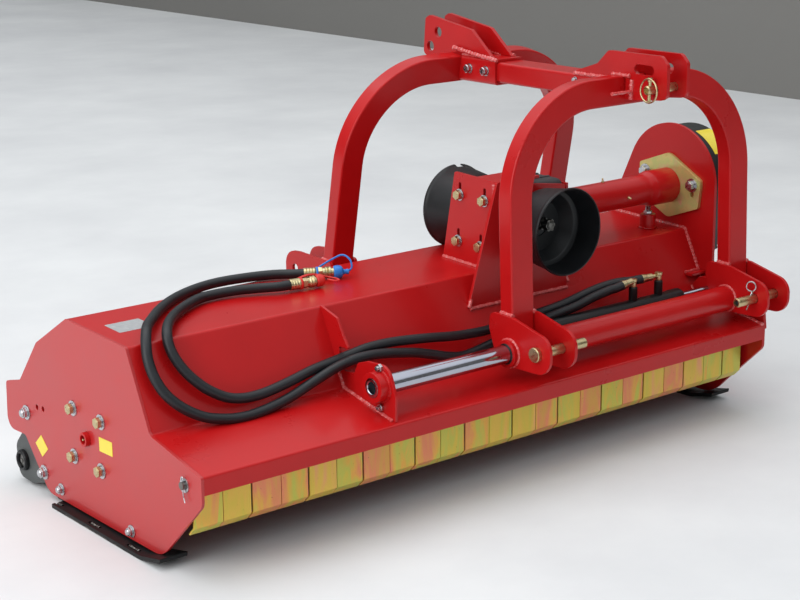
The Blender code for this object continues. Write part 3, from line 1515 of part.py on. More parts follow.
def belt_drive():
    """The banded belt round both pulleys and the cover over them."""
    left = PULLEY_LEFT + (PULLEY_WIDTH - BELT_WIDTH) / 2
    inner = [seat(radius, 28) for radius in (UPPER_PULLEY_RADIUS, LOWER_PULLEY_RADIUS)]
    belt = side_plate(
        loop_outline(*(radius + BELT for radius in inner)),
        left,
        left + BELT_WIDTH,
        [loop_outline(*inner)],
    )
    finish(belt, "drive_belt", "rubber", frame)
    outer = side_plate(
        loop_outline(COVER_UPPER_RADIUS, COVER_LOWER_RADIUS, 11), HALF_WIDTH + GAP, HALF_WIDTH + COVER_DEPTH
    )
    inside = side_plate(
        loop_outline(COVER_UPPER_RADIUS - COVER_SHEET, COVER_LOWER_RADIUS - COVER_SHEET, 11),
        HALF_WIDTH - 0.01,
        HALF_WIDTH + COVER_DEPTH - COVER_SHEET,
    )
    finish(cut(outer, inside), "belt_cover", "black_paint", frame)


hood_shell()
side_plates()
skids()
roller_group()
flaps()
rotor()
hammers()
bearing_housings()
slide_rods()
carriages()
headstock_frame()
top_clevises()
pins()
shift_cylinder()
hoses()
gearbox_bracket()
gearbox()
input_shaft()
guards()
output_drive()
belt_drive()
for left_over in list(workbench.objects):
    bpy.data.objects.remove(left_over)
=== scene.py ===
"""The looks of a side shift flail mulcher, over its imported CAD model.

Metres.  Pieces are laid out as the CAD source lays them out: x from the
machine's centre plane, y from the front lip, z from the ground, outlines square
to X as (y, z).  done() moves each finished piece into the row frame and sets it
on the body that it moves with.
"""
import math

import bpy
from mathutils import Matrix, Vector


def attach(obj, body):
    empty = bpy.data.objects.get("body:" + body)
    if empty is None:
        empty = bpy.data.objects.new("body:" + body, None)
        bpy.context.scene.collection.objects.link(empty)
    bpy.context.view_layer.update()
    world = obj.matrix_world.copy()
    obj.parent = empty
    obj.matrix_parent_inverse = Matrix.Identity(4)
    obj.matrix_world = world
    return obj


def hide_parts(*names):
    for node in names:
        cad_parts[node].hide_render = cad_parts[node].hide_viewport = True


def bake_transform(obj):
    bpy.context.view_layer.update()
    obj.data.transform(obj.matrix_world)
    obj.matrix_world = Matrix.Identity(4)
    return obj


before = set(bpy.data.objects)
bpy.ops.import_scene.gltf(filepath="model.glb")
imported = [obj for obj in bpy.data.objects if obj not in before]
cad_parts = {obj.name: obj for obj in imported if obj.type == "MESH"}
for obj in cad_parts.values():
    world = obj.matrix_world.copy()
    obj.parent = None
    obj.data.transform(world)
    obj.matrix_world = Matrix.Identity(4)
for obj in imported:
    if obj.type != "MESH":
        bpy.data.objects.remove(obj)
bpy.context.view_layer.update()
bpy.ops.object.select_all(action="DESELECT")

# From the layout to the row frame
TO_ROW = Vector((-0.0375, -0.5075, 0.0))
# The side plates' inner and outer faces
LEFT_INNER, RIGHT_INNER = -0.9917, 0.9897
LEFT_FACE, RIGHT_FACE = -1.000, 1.000
# Axes along X, as (y, z)
FRONT_ROD, REAR_ROD = (0.072, 0.365), (0.930, 0.380)
FLAP_ROD = (0.075, 0.242)
ROTOR = (0.545, 0.230)
DRIVE = (0.394, 0.650)
LOWER_PIN = (-0.035, 0.385)
TOP_PIN = (-0.020, 1.042)
# Axes along Y, as (x, z): the input shaft, its guards and the headstock's centre tube
INPUT = (0.310, 0.650)
GUARD = (0.310, 0.643)
TUBE = (0.512, 1.025)
# Radii of the slide rods and of the bores that they run in
ROD, ROD_BORE = 0.0255, 0.0258
FIRST_FLAP, FLAP_PITCH = -0.982, 0.0853


def camera():
    """Where the photograph was taken from."""
    lens = bpy.data.cameras.new("camera")
    lens.lens = 79.5
    lens.sensor_width = 36
    place = Vector((-3.0405, -3.2963, 1.7416)) + TO_ROW
    heading, down, roll = -0.67438, 0.26333, -0.01063
    eye = bpy.data.objects.new("camera", lens)
    bpy.context.scene.collection.objects.link(eye)
    eye.matrix_world = (
        Matrix.Translation(place)
        @ Matrix.Rotation(heading, 4, "Z")
        @ Matrix.Rotation(math.pi / 2 - down, 4, "X")
        @ Matrix.Rotation(roll, 4, "Z")
    )
    bpy.context.scene.camera = eye


camera()


# Finishes

def linear(code):
    """A hex sRGB colour as the linear numbers that a shader takes."""
    shares = [int(code[place:place + 2], 16) / 255 for place in (1, 3, 5)]
    return [*(s / 12.92 if s <= 0.04045 else ((s + 0.055) / 1.055) ** 2.4 for s in shares), 1.0]


def add(look, kind, values=None, links=None, stops=None, **settings):
    """A node with its settings, its sockets' values, what they are linked from and its colour stops."""
    node = look.node_tree.nodes.new("ShaderNode" + kind)
    for setting, value in settings.items():
        setattr(node, setting, value)
    for socket, value in (values or {}).items():
        node.inputs[socket].default_value = value
    for socket, source in (links or {}).items():
        look.node_tree.links.new(source, node.inputs[socket])
    if stops:
        elements = node.color_ramp.elements
        while len(elements) < len(stops):
            elements.new(1.0)
        for element, (place, code) in zip(elements, stops):
            element.position = place
            element.color = linear(code)
    return node


def finish(name, stops, patch, rough, grain, relief, waves=0.0, metallic=0.0, **constants):
    """A finish of colour patches, a roughness that follows them, a fine grain and slow waves in relief.

    Patch and grain are sizes in mm, relief and waves heights in mm.
    """
    look = bpy.data.materials.new(name)
    look.use_nodes = True
    shader = look.node_tree.nodes["Principled BSDF"]
    place = add(look, "TexCoord").outputs["Object"]
    patches = add(look, "TexNoise", {"Scale": 1000 / patch, "Detail": 6.0, "Roughness": 0.6}, {"Vector": place})
    tone = add(look, "ValToRGB", links={"Fac": patches.outputs["Fac"]}, stops=stops)
    spread = add(look, "MapRange", {"From Min": 0.3, "From Max": 0.7, "To Min": rough[0], "To Max": rough[1]},
                 {"Value": patches.outputs["Fac"]})
    peel = add(look, "TexNoise", {"Scale": 1000 / grain, "Detail": 2.0}, {"Vector": place})
    bump = add(look, "Bump", {"Strength": 1.0, "Distance": relief / 1000}, {"Height": peel.outputs["Fac"]})
    if waves:
        slow = add(look, "TexNoise", {"Scale": 1000 / 260, "Detail": 1.0}, {"Vector": place})
        bump = add(look, "Bump", {"Strength": 1.0, "Distance": waves / 1000},
                   {"Height": slow.outputs["Fac"], "Normal": bump.outputs["Normal"]})
    tree = look.node_tree
    tree.links.new(tone.outputs["Color"], shader.inputs["Base Color"])
    tree.links.new(spread.outputs["Result"], shader.inputs["Roughness"])
    tree.links.new(bump.outputs["Normal"], shader.inputs["Normal"])
    shader.inputs["Metallic"].default_value = metallic
    for socket, value in constants.items():
        shader.inputs[socket.replace("_", " ")].default_value = value
    return look


def chromated_flaps():
    """Yellow chromate over zinc on the pressed flaps: rainbow films whose hue differs from flap to flap."""
    look = finish("chromated_flap_steel", [(0.0, "#8a7f3a"), (1.0, "#8a7f3a")], 20, (0.34, 0.48), 1.2, 0.05,
                  metallic=0.30)
    shader = look.node_tree.nodes["Principled BSDF"]
    place = add(look, "TexCoord").outputs["Object"]
    parts = add(look, "SeparateXYZ", links={"Vector": place})
    # The number of the flap, counted from 2.5 mm before the first one
    across = add(look, "Math", {1: 0.0025 - FIRST_FLAP - TO_ROW.x}, {0: parts.outputs["X"]}, operation="ADD")
    flap = add(look, "Math", {1: FLAP_PITCH}, {0: across.outputs["Value"]}, operation="DIVIDE")
    whole = add(look, "Math", links={0: flap.outputs["Value"]}, operation="FLOOR")
    own = add(look, "TexWhiteNoise", links={"W": whole.outputs["Value"]}, noise_dimensions="1D")
    # The film drifts in upright streaks about 40 mm wide
    upright = add(look, "Mapping", {"Scale": (1.0, 1.0, 0.22)}, {"Vector": place})
    drift = add(look, "TexNoise", {"Scale": 26.0, "Detail": 3.0, "Distortion": 0.6},
                {"Vector": upright.outputs["Vector"]})
    mixed = add(look, "Math", {1: 0.62}, {0: own.outputs["Value"], 2: drift.outputs["Fac"]},
                operation="MULTIPLY_ADD")
    wrapped = add(look, "Math", {1: 0.18}, {0: mixed.outputs["Value"]}, operation="SUBTRACT")
    film = add(look, "ValToRGB", links={"Fac": wrapped.outputs["Value"]}, stops=[
        (0.05, "#f09a5c"), (0.20, "#f3ac78"), (0.34, "#ecc354"), (0.48, "#e2c64c"),
        (0.60, "#cccb58"), (0.72, "#efb850"), (0.86, "#f0906a"), (1.0, "#e4aa54"),
    ])
    specks = add(look, "TexNoise", {"Scale": 190.0, "Detail": 2.0}, {"Vector": place})
    stain = add(look, "ValToRGB", links={"Fac": specks.outputs["Fac"]},
                stops=[(0.22, "#8f7a46"), (0.27, "#ffffff")])
    dull = add(look, "MixRGB", {"Fac": 0.75}, {"Color1": film.outputs["Color"],
                                               "Color2": stain.outputs["Color"]},
               blend_type="MULTIPLY")
    look.node_tree.links.new(dull.outputs["Color"], shader.inputs["Base Color"])
    return look


def scuffed_black():
    """Black enamel on the skids, thin and scraped to the steel along the sole."""
    look = finish("skid_enamel", [(0.30, "#0d0e0f"), (0.70, "#161718")], 60, (0.42, 0.58), 1.5, 0.04,
                  Specular_IOR_Level=0.3)
    shader = look.node_tree.nodes["Principled BSDF"]
    place = add(look, "TexCoord").outputs["Object"]
    height = add(look, "SeparateXYZ", links={"Vector": place})
    stretched = add(look, "Mapping", {"Scale": (1.0, 0.12, 1.0)}, {"Vector": place})
    scrapes = add(look, "TexNoise", {"Scale": 160.0, "Detail": 6.0, "Roughness": 0.7},
                  {"Vector": stretched.outputs["Vector"]})
    low = add(look, "MapRange", {"From Min": 0.010, "From Max": 0.0, "To Min": 0.0, "To Max": 0.35},
              {"Value": height.outputs["Z"]})
    summed = add(look, "Math", links={0: scrapes.outputs["Fac"], 1: low.outputs["Result"]}, operation="ADD")
    bare = add(look, "ValToRGB", links={"Fac": summed.outputs["Value"]},
               stops=[(0.76, "#000000"), (0.86, "#ffffff")])
    tone = shader.inputs["Base Color"].links[0].from_socket
    worn = add(look, "MixRGB", {"Color2": linear("#6f6a65")}, {"Fac": bare.outputs["Color"], "Color1": tone})
    look.node_tree.links.new(worn.outputs["Color"], shader.inputs["Base Color"])
    return look


LOOKS = {
    # Polyester powder coat: even, glossy, a faint orange peel of about 2.5 mm and the sheet's slow waves
    "red": (finish("powder_coat_red", [(0.25, "#b31113"), (0.75, "#bf1416")], 180, (0.26, 0.36),
                   2.5, 0.012, 0.35, Coat_Weight=0.12, Coat_Roughness=0.10, Specular_IOR_Level=0.28),
            "red_paint"),
    # The same coat on the thick left plate as its own copy, a little hazier, with a pinker base and more coat:
    # painted sheen added to the floor's reflection beside it, which dulls it to rose
    "sheen_red": (finish("powder_coat_red_painted_sheen", [(0.25, "#b1191b"), (0.75, "#bb1f21")], 180, (0.34, 0.44),
                    2.5, 0.012, 0.35, Coat_Weight=0.40, Coat_Roughness=0.16), "red_paint"),
    # The red coat over weld ripples, its base painted pale pink: painted highlight for the light that each
    # crest catches
    "bead": (finish("weld_coat_painted_highlight", [(0.30, "#c8383a"), (0.75, "#e07674")], 7, (0.16, 0.28), 1.5, 0.05,
                    Coat_Weight=0.60, Coat_Roughness=0.10), "red_paint"),
    # Satin black enamel on the roller, rotor and barrel: soft highlights, dust in the low spots
    "black": (finish("satin_black_enamel", [(0.30, "#0f1011"), (0.75, "#18191b")], 70, (0.32, 0.48), 2.0, 0.03,
                     Specular_IOR_Level=0.35), "black_paint"),
    # The same enamel on the skids, rubbed through to dull steel low down
    "skid": (scuffed_black(), "black_paint"),
    # Grey primer enamel with a film of dust, which reads as dull dark grey
    "grey": (finish("dusty_grey_enamel", [(0.30, "#3c3f40"), (0.75, "#555856")], 50, (0.42, 0.60), 2.0, 0.03),
             "grey_paint"),
    # Sand cast iron under grey paint: a grain of about 1.2 mm stands in relief
    "cast": (finish("painted_cast_iron", [(0.30, "#2c2e30"), (0.75, "#414446")], 40, (0.45, 0.62), 1.2, 0.22),
             "grey_paint"),
    # Hard chrome on ground bar: a near mirror, slightly blue
    "chrome": (finish("hard_chrome", [(0.30, "#b3b6c2"), (0.75, "#bfc0ca")], 90, (0.07, 0.15), 1.0, 0.004,
                      metallic=1.0), "chrome"),
    # Yellow chromate zinc on bolts and pins: warm straw metal with greenish and pinkish patches
    "yellow": (finish("yellow_chromate_zinc", [
        (0.28, "#b8a47c"), (0.45, "#ccb98e"), (0.60, "#c2ba90"), (0.78, "#d0b596"),
    ], 9, (0.24, 0.38), 0.8, 0.02, metallic=1.0), "zinc"),
    # The same film on a broad plate: paler, in wide clouds of straw, green and pink
    "plate_zinc": (finish("chromated_plate", [
        (0.28, "#c9b268"), (0.42, "#dccf86"), (0.56, "#c8d183"), (0.70, "#dfbd92"), (0.85, "#d5c67c"),
    ], 60, (0.32, 0.44), 1.0, 0.02, metallic=0.55), "yellow_zinc"),
    # The same film on the flaps, stronger, each with its own hue from orange to green
    "flaps": (chromated_flaps(), "yellow_zinc"),
    # Bright zinc on nuts and washers: pale, slightly blue metal
    "bright": (finish("bright_zinc", [(0.30, "#b4b7bb"), (0.75, "#cfd0d2")], 8, (0.20, 0.34), 0.8, 0.02,
                      metallic=1.0), "zinc"),
    # Machined steel under oil: darker metal, fine turning marks
    "steel": (finish("oiled_steel", [(0.30, "#6c6b68"), (0.75, "#86847f")], 15, (0.28, 0.44), 0.7, 0.02,
                     metallic=1.0), "bare_steel"),
    # Forged hammers: scaled dark steel, rubbed brighter
    "forged": (finish("forged_steel", [(0.30, "#3a3733"), (0.62, "#57524b"), (0.80, "#7a746a")],
                      14, (0.42, 0.62), 1.5, 0.18, metallic=0.8), "bare_steel"),
    # Wrapped synthetic rubber: dull blue-black cover with the print of the cloth, about 1 mm
    "rubber": (finish("wrapped_hose_rubber", [(0.30, "#101317"), (0.75, "#1a1e23")], 45, (0.38, 0.52),
                      1.1, 0.16, 0.8), "rubber"),
    # Belt rubber: matt dark grey; the same finish on the dark discs in bored ends, which are painted shade for
    # those holes
    "belt": (finish("belt_rubber", [(0.30, "#17181a"), (0.75, "#242526")], 12, (0.60, 0.78), 1.0, 0.10),
             "rubber"),
    # Blow moulded polyethylene: dark, slightly waxy, with a soft sheen
    "plastic": (finish("moulded_polyethylene", [(0.30, "#0f1113"), (0.75, "#171a1d")], 60, (0.36, 0.50),
                       1.6, 0.05, Specular_IOR_Level=0.42), "plastic"),
    # Soft PVC dust caps, one red and one blue
    "red_cap": (finish("soft_red_pvc", [(0.30, "#c8201d"), (0.75, "#e2352b")], 12, (0.34, 0.48), 1.4, 0.04),
                "red_cap"),
    "blue_cap": (finish("soft_blue_pvc", [(0.30, "#1767b8"), (0.75, "#2a86dc")], 12, (0.34, 0.48), 1.4, 0.04),
                 "blue_cap"),
    # Plain reflective sheet: bright lemon yellow under a clear film
    "reflector": (finish("reflective_sheet", [(0.30, "#e9d21f"), (0.75, "#f4e02c")], 6, (0.30, 0.42), 1.2, 0.01,
                         Coat_Weight=0.5), "red_paint"),
    # Brushed aluminium plate left blank
    "plate": (finish("brushed_aluminium", [(0.30, "#c9cbcc"), (0.75, "#dcdddd")], 10, (0.30, 0.44), 0.6, 0.02,
                     metallic=0.7), "zinc"),
}


# Modelling

def only(piece):
    """Select one piece alone."""
    bpy.ops.object.select_all(action="DESELECT")
    piece.select_set(True)
    bpy.context.view_layer.objects.active = piece
    return piece


def placed(piece):
    """The piece with its place in its mesh."""
    only(piece)
    bpy.ops.object.transform_apply(location=True, rotation=True, scale=True)
    return piece


def shaped(piece, kind, **settings):
    """The piece after one modifier, applied."""
    only(piece)
    change = piece.modifiers.new(kind.lower(), kind)
    for setting, value in settings.items():
        setattr(change, setting, value)
    bpy.ops.object.modifier_apply(modifier=change.name)
    return piece


def eased(piece, width, segments=2, least=40):
    """The piece with its corners of more than least degrees broken."""
    return shaped(piece, "BEVEL", width=width, segments=segments, limit_method="ANGLE",
                  angle_limit=math.radians(least), harden_normals=False)


def welded(piece, flat=True):
    """Doubles merged, flat faces made whole and every face turned outwards."""
    only(piece)
    bpy.ops.object.mode_set(mode="EDIT")
    bpy.ops.mesh.select_all(action="SELECT")
    bpy.ops.mesh.remove_doubles(threshold=0.00002)
    if flat:
        bpy.ops.mesh.dissolve_limited(angle_limit=math.radians(0.4))
    bpy.ops.mesh.normals_make_consistent(inside=False)
    bpy.ops.object.mode_set(mode="OBJECT")
    return piece


def linked(data, place=None):
    """A new object of this data in the scene."""
    piece = bpy.data.objects.new(data.name, data)
    piece.matrix_world = place or Matrix()
    bpy.context.scene.collection.objects.link(piece)
    return piece


def joined(pieces):
    """Several pieces of one finish as one object."""
    pieces = list(pieces)
    bpy.ops.object.select_all(action="DESELECT")
    for piece in pieces:
        piece.select_set(True)
    bpy.context.view_layer.objects.active = pieces[0]
    if len(pieces) > 1:
        bpy.ops.object.join()
    return pieces[0]


def done(piece, name, look, body, *nodes, smooth=32):
    """A finished piece in the row frame, on its body, in place of its CAD nodes."""
    placed(piece)
    piece.name = piece.data.name = name
    piece.data.transform(Matrix.Translation(TO_ROW))
    material, slot = LOOKS[look]
    piece.data.materials.clear()
    piece.data.materials.append(material)
    only(piece)
    bpy.ops.object.shade_smooth_by_angle(angle=math.radians(smooth))
    shaped(piece, "WEIGHTED_NORMAL", keep_sharp=True)
    if body:
        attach(piece, body)
    if nodes:
        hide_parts(*nodes)
    return piece


def along(start, end):
    """The frame whose Z runs from start towards end."""
    start = Vector(start)
    return Matrix.Translation(start) @ (Vector(end) - start).to_track_quat("Z", "Y").to_matrix().to_4x4()


def bar(start, end, radius, sides=32, edge=0.0):
    """A round bar between two points."""
    start, end = Vector(start), Vector(end)
    bpy.ops.mesh.primitive_cylinder_add(
        vertices=sides, radius=radius, depth=(end - start).length, location=(start + end) / 2,
        rotation=(end - start).to_track_quat("Z", "Y").to_euler(),
    )
    piece = placed(bpy.context.object)
    return eased(piece, edge) if edge else piece


def block(low, high, edge=0.001, segments=2):
    """A bar of flat stock between two corners, its edges broken."""
    low, high = Vector(low), Vector(high)
    bpy.ops.mesh.primitive_cube_add(size=1, location=(low + high) / 2, scale=high - low)
    return eased(placed(bpy.context.object), edge, segments)


def turned(profile, start, end, sides=48, edge=0.0):
    """A turned piece: (radius, distance from start) points run round the line from start to end."""
    mesh = bpy.data.meshes.new("profile")
    closing = [(len(profile) - 1, 0)] if profile[0][0] > 0 else []
    mesh.from_pydata([(radius, 0, distance) for radius, distance in profile],
                     [(index, index + 1) for index in range(len(profile) - 1)] + closing, [])
    piece = linked(mesh)
    shaped(piece, "SCREW", steps=sides, render_steps=sides, use_merge_vertices=True, merge_threshold=0.00003)
    welded(piece, flat=False)
    if edge:
        eased(piece, edge, least=30)
    piece.matrix_world = along(start, end)
    return placed(piece)


def rounded(corners, step=7.0, closed=True):
    """Points of an outline whose (u, v, radius) corners are drawn as arcs."""
    points = []
    for index, (u, v, radius) in enumerate(corners):
        corner = Vector((u, v))
        if radius <= 0 or (not closed and index in (0, len(corners) - 1)):
            points.append((u, v))
            continue
        before = (Vector(corners[index - 1][:2]) - corner).normalized()
        after = (Vector(corners[(index + 1) % len(corners)][:2]) - corner).normalized()
        half = before.angle(after) / 2
        centre = corner + (before + after).normalized() * radius / math.sin(half)
        first = corner + before * radius / math.tan(half) - centre
        turn = math.pi - 2 * half
        if before.x * after.y - before.y * after.x > 0:
            turn = -turn
        pieces = max(2, round(abs(math.degrees(turn)) / (step if radius > 0.012 else 2 * step)))
        for piece in range(pieces + 1):
            angle = turn * piece / pieces
            points.append((centre.x + first.x * math.cos(angle) - first.y * math.sin(angle),
                           centre.y + first.x * math.sin(angle) + first.y * math.cos(angle)))
    kept = [points[0]]
    for point in points[1:]:
        if math.dist(point, kept[-1]) > 0.0001:
            kept.append(point)
    if closed and math.dist(kept[0], kept[-1]) <= 0.0001:
        kept.pop()
    return kept


def polar(centre, radius, angle):
    """The point at a radius and an angle in degrees about a centre."""
    turn = math.radians(angle)
    return centre[0] + radius * math.cos(turn), centre[1] + radius * math.sin(turn)


def circle(centre, radius, sides=32):
    """Points of a circle."""
    return [polar(centre, radius, 360 * side / sides) for side in range(sides)]


def oblong(centre, half_width, half_height, radius):
    """Points of an oblong with rounded corners."""
    return rounded([(centre[0] + u * half_width, centre[1] + v * half_height, radius)
                    for u, v in ((-1, -1), (-1, 1), (1, 1), (1, -1))])


def slot(centre, length, width, upright=False, pieces=10):
    """Points of a slot with round ends."""
    reach = (length - width) / 2
    points = []
    for end, first in ((1, -90), (-1, 90)):
        for step in range(pieces + 1):
            angle = math.radians(first + 180 * step / pieces)
            u = end * reach + width / 2 * math.cos(angle)
            v = width / 2 * math.sin(angle)
            points.append((centre[0] - v, centre[1] + u) if upright else (centre[0] + u, centre[1] + v))
    return points


def plate(outline, thickness, place, holes=(), edge=0.0009, segments=2):
    """A flame cut plate: an outline in the place's XY plane, its edges broken."""
    data = bpy.data.curves.new("plate", "CURVE")
    data.dimensions = "2D"
    data.fill_mode = "BOTH"
    data.extrude = thickness / 2
    for loop in (outline, *holes):
        spline = data.splines.new("POLY")
        spline.points.add(len(loop) - 1)
        spline.use_cyclic_u = True
        for point, (u, v) in zip(spline.points, loop):
            point.co = (u, v, 0, 1)
    only(linked(data, place))
    bpy.ops.object.convert(target="MESH")
    return eased(welded(placed(bpy.context.object)), edge, segments)


def side_plate(outline, left, right, holes=(), edge=0.0009, segments=2):
    """A plate square to X between two x values, its outline in (y, z)."""
    upended = Matrix.Rotation(math.pi / 2, 4, "Z") @ Matrix.Rotation(math.pi / 2, 4, "X")
    middle = Matrix.Translation(((left + right) / 2, 0, 0))
    return plate(outline, right - left, middle @ upended, holes, edge, segments)


def cross_plate(outline, front, rear, holes=(), edge=0.0009, segments=2, lean=0.0, foot=(0.0, 0.0)):
    """A plate square to Y, its outline in (x, height), leaning about its foot (y, z)."""
    place = (Matrix.Translation((0, foot[0], foot[1])) @ Matrix.Rotation(-math.atan(lean), 4, "X")
             @ Matrix.Translation((0, (front + rear) / 2, 0)) @ Matrix.Rotation(math.pi / 2, 4, "X"))
    return plate(outline, rear - front, place, holes, edge, segments)


def tube(points, radius, closed=False, radii=None, rings=3):
    """A round section run along a line of points."""
    data = bpy.data.curves.new("tube", "CURVE")
    data.dimensions = "3D"
    data.bevel_depth = radius
    data.bevel_resolution = rings
    data.use_fill_caps = not closed
    spline = data.splines.new("POLY")
    spline.points.add(len(points) - 1)
    spline.use_cyclic_u = closed
    for index, (point, place) in enumerate(zip(spline.points, points)):
        point.co = (*place, 1)
        point.radius = radii[index] if radii else 1.0
    only(linked(data))
    bpy.ops.object.convert(target="MESH")
    return welded(bpy.context.object, flat=False)


def smooth(route, spacing):
    """Evenly spaced points on a smooth curve through the points of a route."""
    points = [Vector(point) for point in route]
    ends = [2 * points[0] - points[1], *points, 2 * points[-1] - points[-2]]
    fine = []
    for index in range(1, len(ends) - 2):
        before, here, there, after = ends[index - 1:index + 3]
        for step in range(12):
            t = step / 12
            fine.append(0.5 * (2 * here + (there - before) * t
                               + (2 * before - 5 * here + 4 * there - after) * t ** 2
                               + (3 * here - before - 3 * there + after) * t ** 3))
    fine.append(points[-1])
    return spaced(fine, spacing)


def spaced(line, spacing):
    """Points at an even spacing along a line of points."""
    lengths = [0.0]
    for near, far in zip(line, line[1:]):
        lengths.append(lengths[-1] + (far - near).length)
    count = max(2, round(lengths[-1] / spacing))
    chosen = []
    index = 1
    for place in range(count + 1):
        target = lengths[-1] * place / count
        while index < len(line) - 1 and lengths[index] < target:
            index += 1
        share = (target - lengths[index - 1]) / (lengths[index] - lengths[index - 1])
        chosen.append(line[index - 1].lerp(line[index], share))
    return chosen


def weld(points, radius=0.0042):
    """A weld bead: a flattish rope of ripples about 4 mm apart."""
    line = spaced([Vector(point) for point in points], 0.004)
    radii = [1.0 + 0.16 * math.sin(2.1 * index) + 0.10 * math.sin(0.73 * index + 1.0)
             for index in range(len(line))]
    return tube(line, radius, radii=radii, rings=2)


def ring_weld(centre, radius, x, thick):
    """A weld bead round a tube that runs along X."""
    return weld([(x, *polar(centre, radius, angle)) for angle in range(0, 361, 6)], thick)


def repeated(model, places):
    """Copies of a modelled piece at each place, each with its own mesh, as one object."""
    copies = []
    for place in places:
        copy = linked(model.data.copy())
        copy.data.transform(place)
        copies.append(copy)
    bpy.data.objects.remove(model)
    return joined(copies)


def standing(profile, sides=24, edge=0.0):
    """A turned piece that stands on the origin."""
    return turned(profile, (0, 0, 0), (0, 0, 1), sides, edge)


def hexagon(across, height, start=0.0):
    """A chamfered hexagon head or nut standing on a plane."""
    bpy.ops.mesh.primitive_cylinder_add(vertices=6, radius=across / math.sqrt(3), depth=height,
                                        location=(0, 0, start + height / 2))
    piece = placed(bpy.context.object)
    return eased(piece, across * 0.055, 3, least=70)


def washer(inner, outer, thickness, start=0.0):
    """A washer lying on a plane."""
    top = start + thickness
    return standing([(inner, start), (outer, start), (outer, top), (inner, top)], 32, 0.0004)


def thread(radius, start, end, pitch=0.002):
    """The threaded end of a bolt."""
    profile = [(0, start), (radius, start)]
    for turn in range(int((end - start) / pitch)):
        profile += [(radius - 0.0007, start + pitch * (turn + 0.5)), (radius, start + pitch * (turn + 1))]
    return standing(profile + [(radius - 0.001, end), (0, end)], 20)


def facing(spots, way):
    """The frames that stand on these points and face one way."""
    return [along(spot, Vector(spot) + Vector(way)) for spot in spots]


def bolts(name, body, spots, way, across, head="yellow", wide=None):
    """Hexagon bolts with a spring washer and a flat washer, drawn for 24 mm across and scaled."""
    size = across / 0.024
    flat = wide or 0.0165 * size
    washers = joined([washer(0.0085 * size, flat, 0.003 * size),
                      washer(0.0085 * size, 0.0135 * size, 0.0035 * size, 0.003 * size)])
    done(repeated(washers, facing(spots, way)), name + "_washers", "bright", body)
    heads = joined([hexagon(across, 0.0100 * size, 0.0065 * size),
                    standing([(0, 0.0160 * size), (0.0085 * size, 0.0160 * size),
                              (0.0080 * size, 0.0170 * size), (0, 0.0170 * size)])])
    done(repeated(heads, facing(spots, way)), name, head, body)


def nuts(name, body, spots, way, across):
    """Lock nuts on their washers with a bolt's end through, drawn for 19 mm across and scaled."""
    size = across / 0.019
    model = joined([
        washer(0.0065 * size, 0.0150 * size, 0.0025 * size),
        hexagon(across, 0.0085 * size, 0.0025 * size),
        standing([(0, 0.0110 * size), (0.0082 * size, 0.0110 * size), (0.0080 * size, 0.0130 * size),
                  (0.0066 * size, 0.0145 * size), (0, 0.0145 * size)]),
        thread(0.0060 * size, 0.0140 * size, 0.0149 * size),
    ])
    done(repeated(model, facing(spots, way)), name, "bright", body)


def grease_fitting(name, body, spot, way):
    """A grease nipple: hexagon, neck and ball."""
    model = joined([
        hexagon(0.009, 0.004),
        standing([(0, 0.004), (0.0032, 0.004), (0.0028, 0.007), (0.0020, 0.0085), (0.0031, 0.0105),
                  (0.0026, 0.0125), (0.0010, 0.0135), (0, 0.0135)], 20),
    ])
    done(repeated(model, facing([spot], way)), name, "yellow", body)


# The mulcher's body

# Outlines in (y, z) with the radius of each bend
HOOD = [
    (0.003, 0.233, 0.000), (0.003, 0.279, 0.006), (0.226, 0.3235, 0.010), (0.325, 0.5226, 0.010),
    (0.624, 0.5318, 0.010), (0.795, 0.430, 0.010), (0.890, 0.305, 0.010), (0.895, 0.200, 0.000),
]
SIDE = [
    (0.003, 0.207, 0.030), (0.195, 0.020, 0.090), (0.775, 0.016, 0.060), (0.893, 0.148, 0.020),
    (0.998, 0.144, 0.035), (0.990, 0.279, 0.012), (0.906, 0.301, 0.020), (0.797, 0.430, 0.015),
]


def hood():
    """The folded sheet and the weld that joins it to the drive side's plate."""
    profile = rounded(HOOD, closed=False)
    mesh = bpy.data.meshes.new("hood")
    mesh.from_pydata([(LEFT_INNER, y, z) for y, z in profile],
                     [(index, index + 1) for index in range(len(profile) - 1)], [])
    piece = only(linked(mesh))
    bpy.ops.object.mode_set(mode="EDIT")
    bpy.ops.mesh.select_all(action="SELECT")
    bpy.ops.mesh.extrude_region_move(TRANSFORM_OT_translate={"value": (RIGHT_INNER - LEFT_INNER, 0, 0)})
    bpy.ops.mesh.select_all(action="SELECT")
    bpy.ops.mesh.normals_make_consistent(inside=False)
    bpy.ops.object.mode_set(mode="OBJECT")
    top = max(piece.data.polygons, key=lambda polygon: polygon.center.z)
    shaped(piece, "SOLIDIFY", thickness=0.006, use_even_offset=True, offset=-1 if top.normal.z > 0 else 1)
    done(eased(piece, 0.0010), "hood_sheet", "red", "mulcher", "hood_shell")
    seam = [(RIGHT_INNER - 0.001, y, z) for y, z in rounded(HOOD[1:7], closed=False)]
    done(weld(seam, 0.0058), "hood_seam_right", "bead", "mulcher")


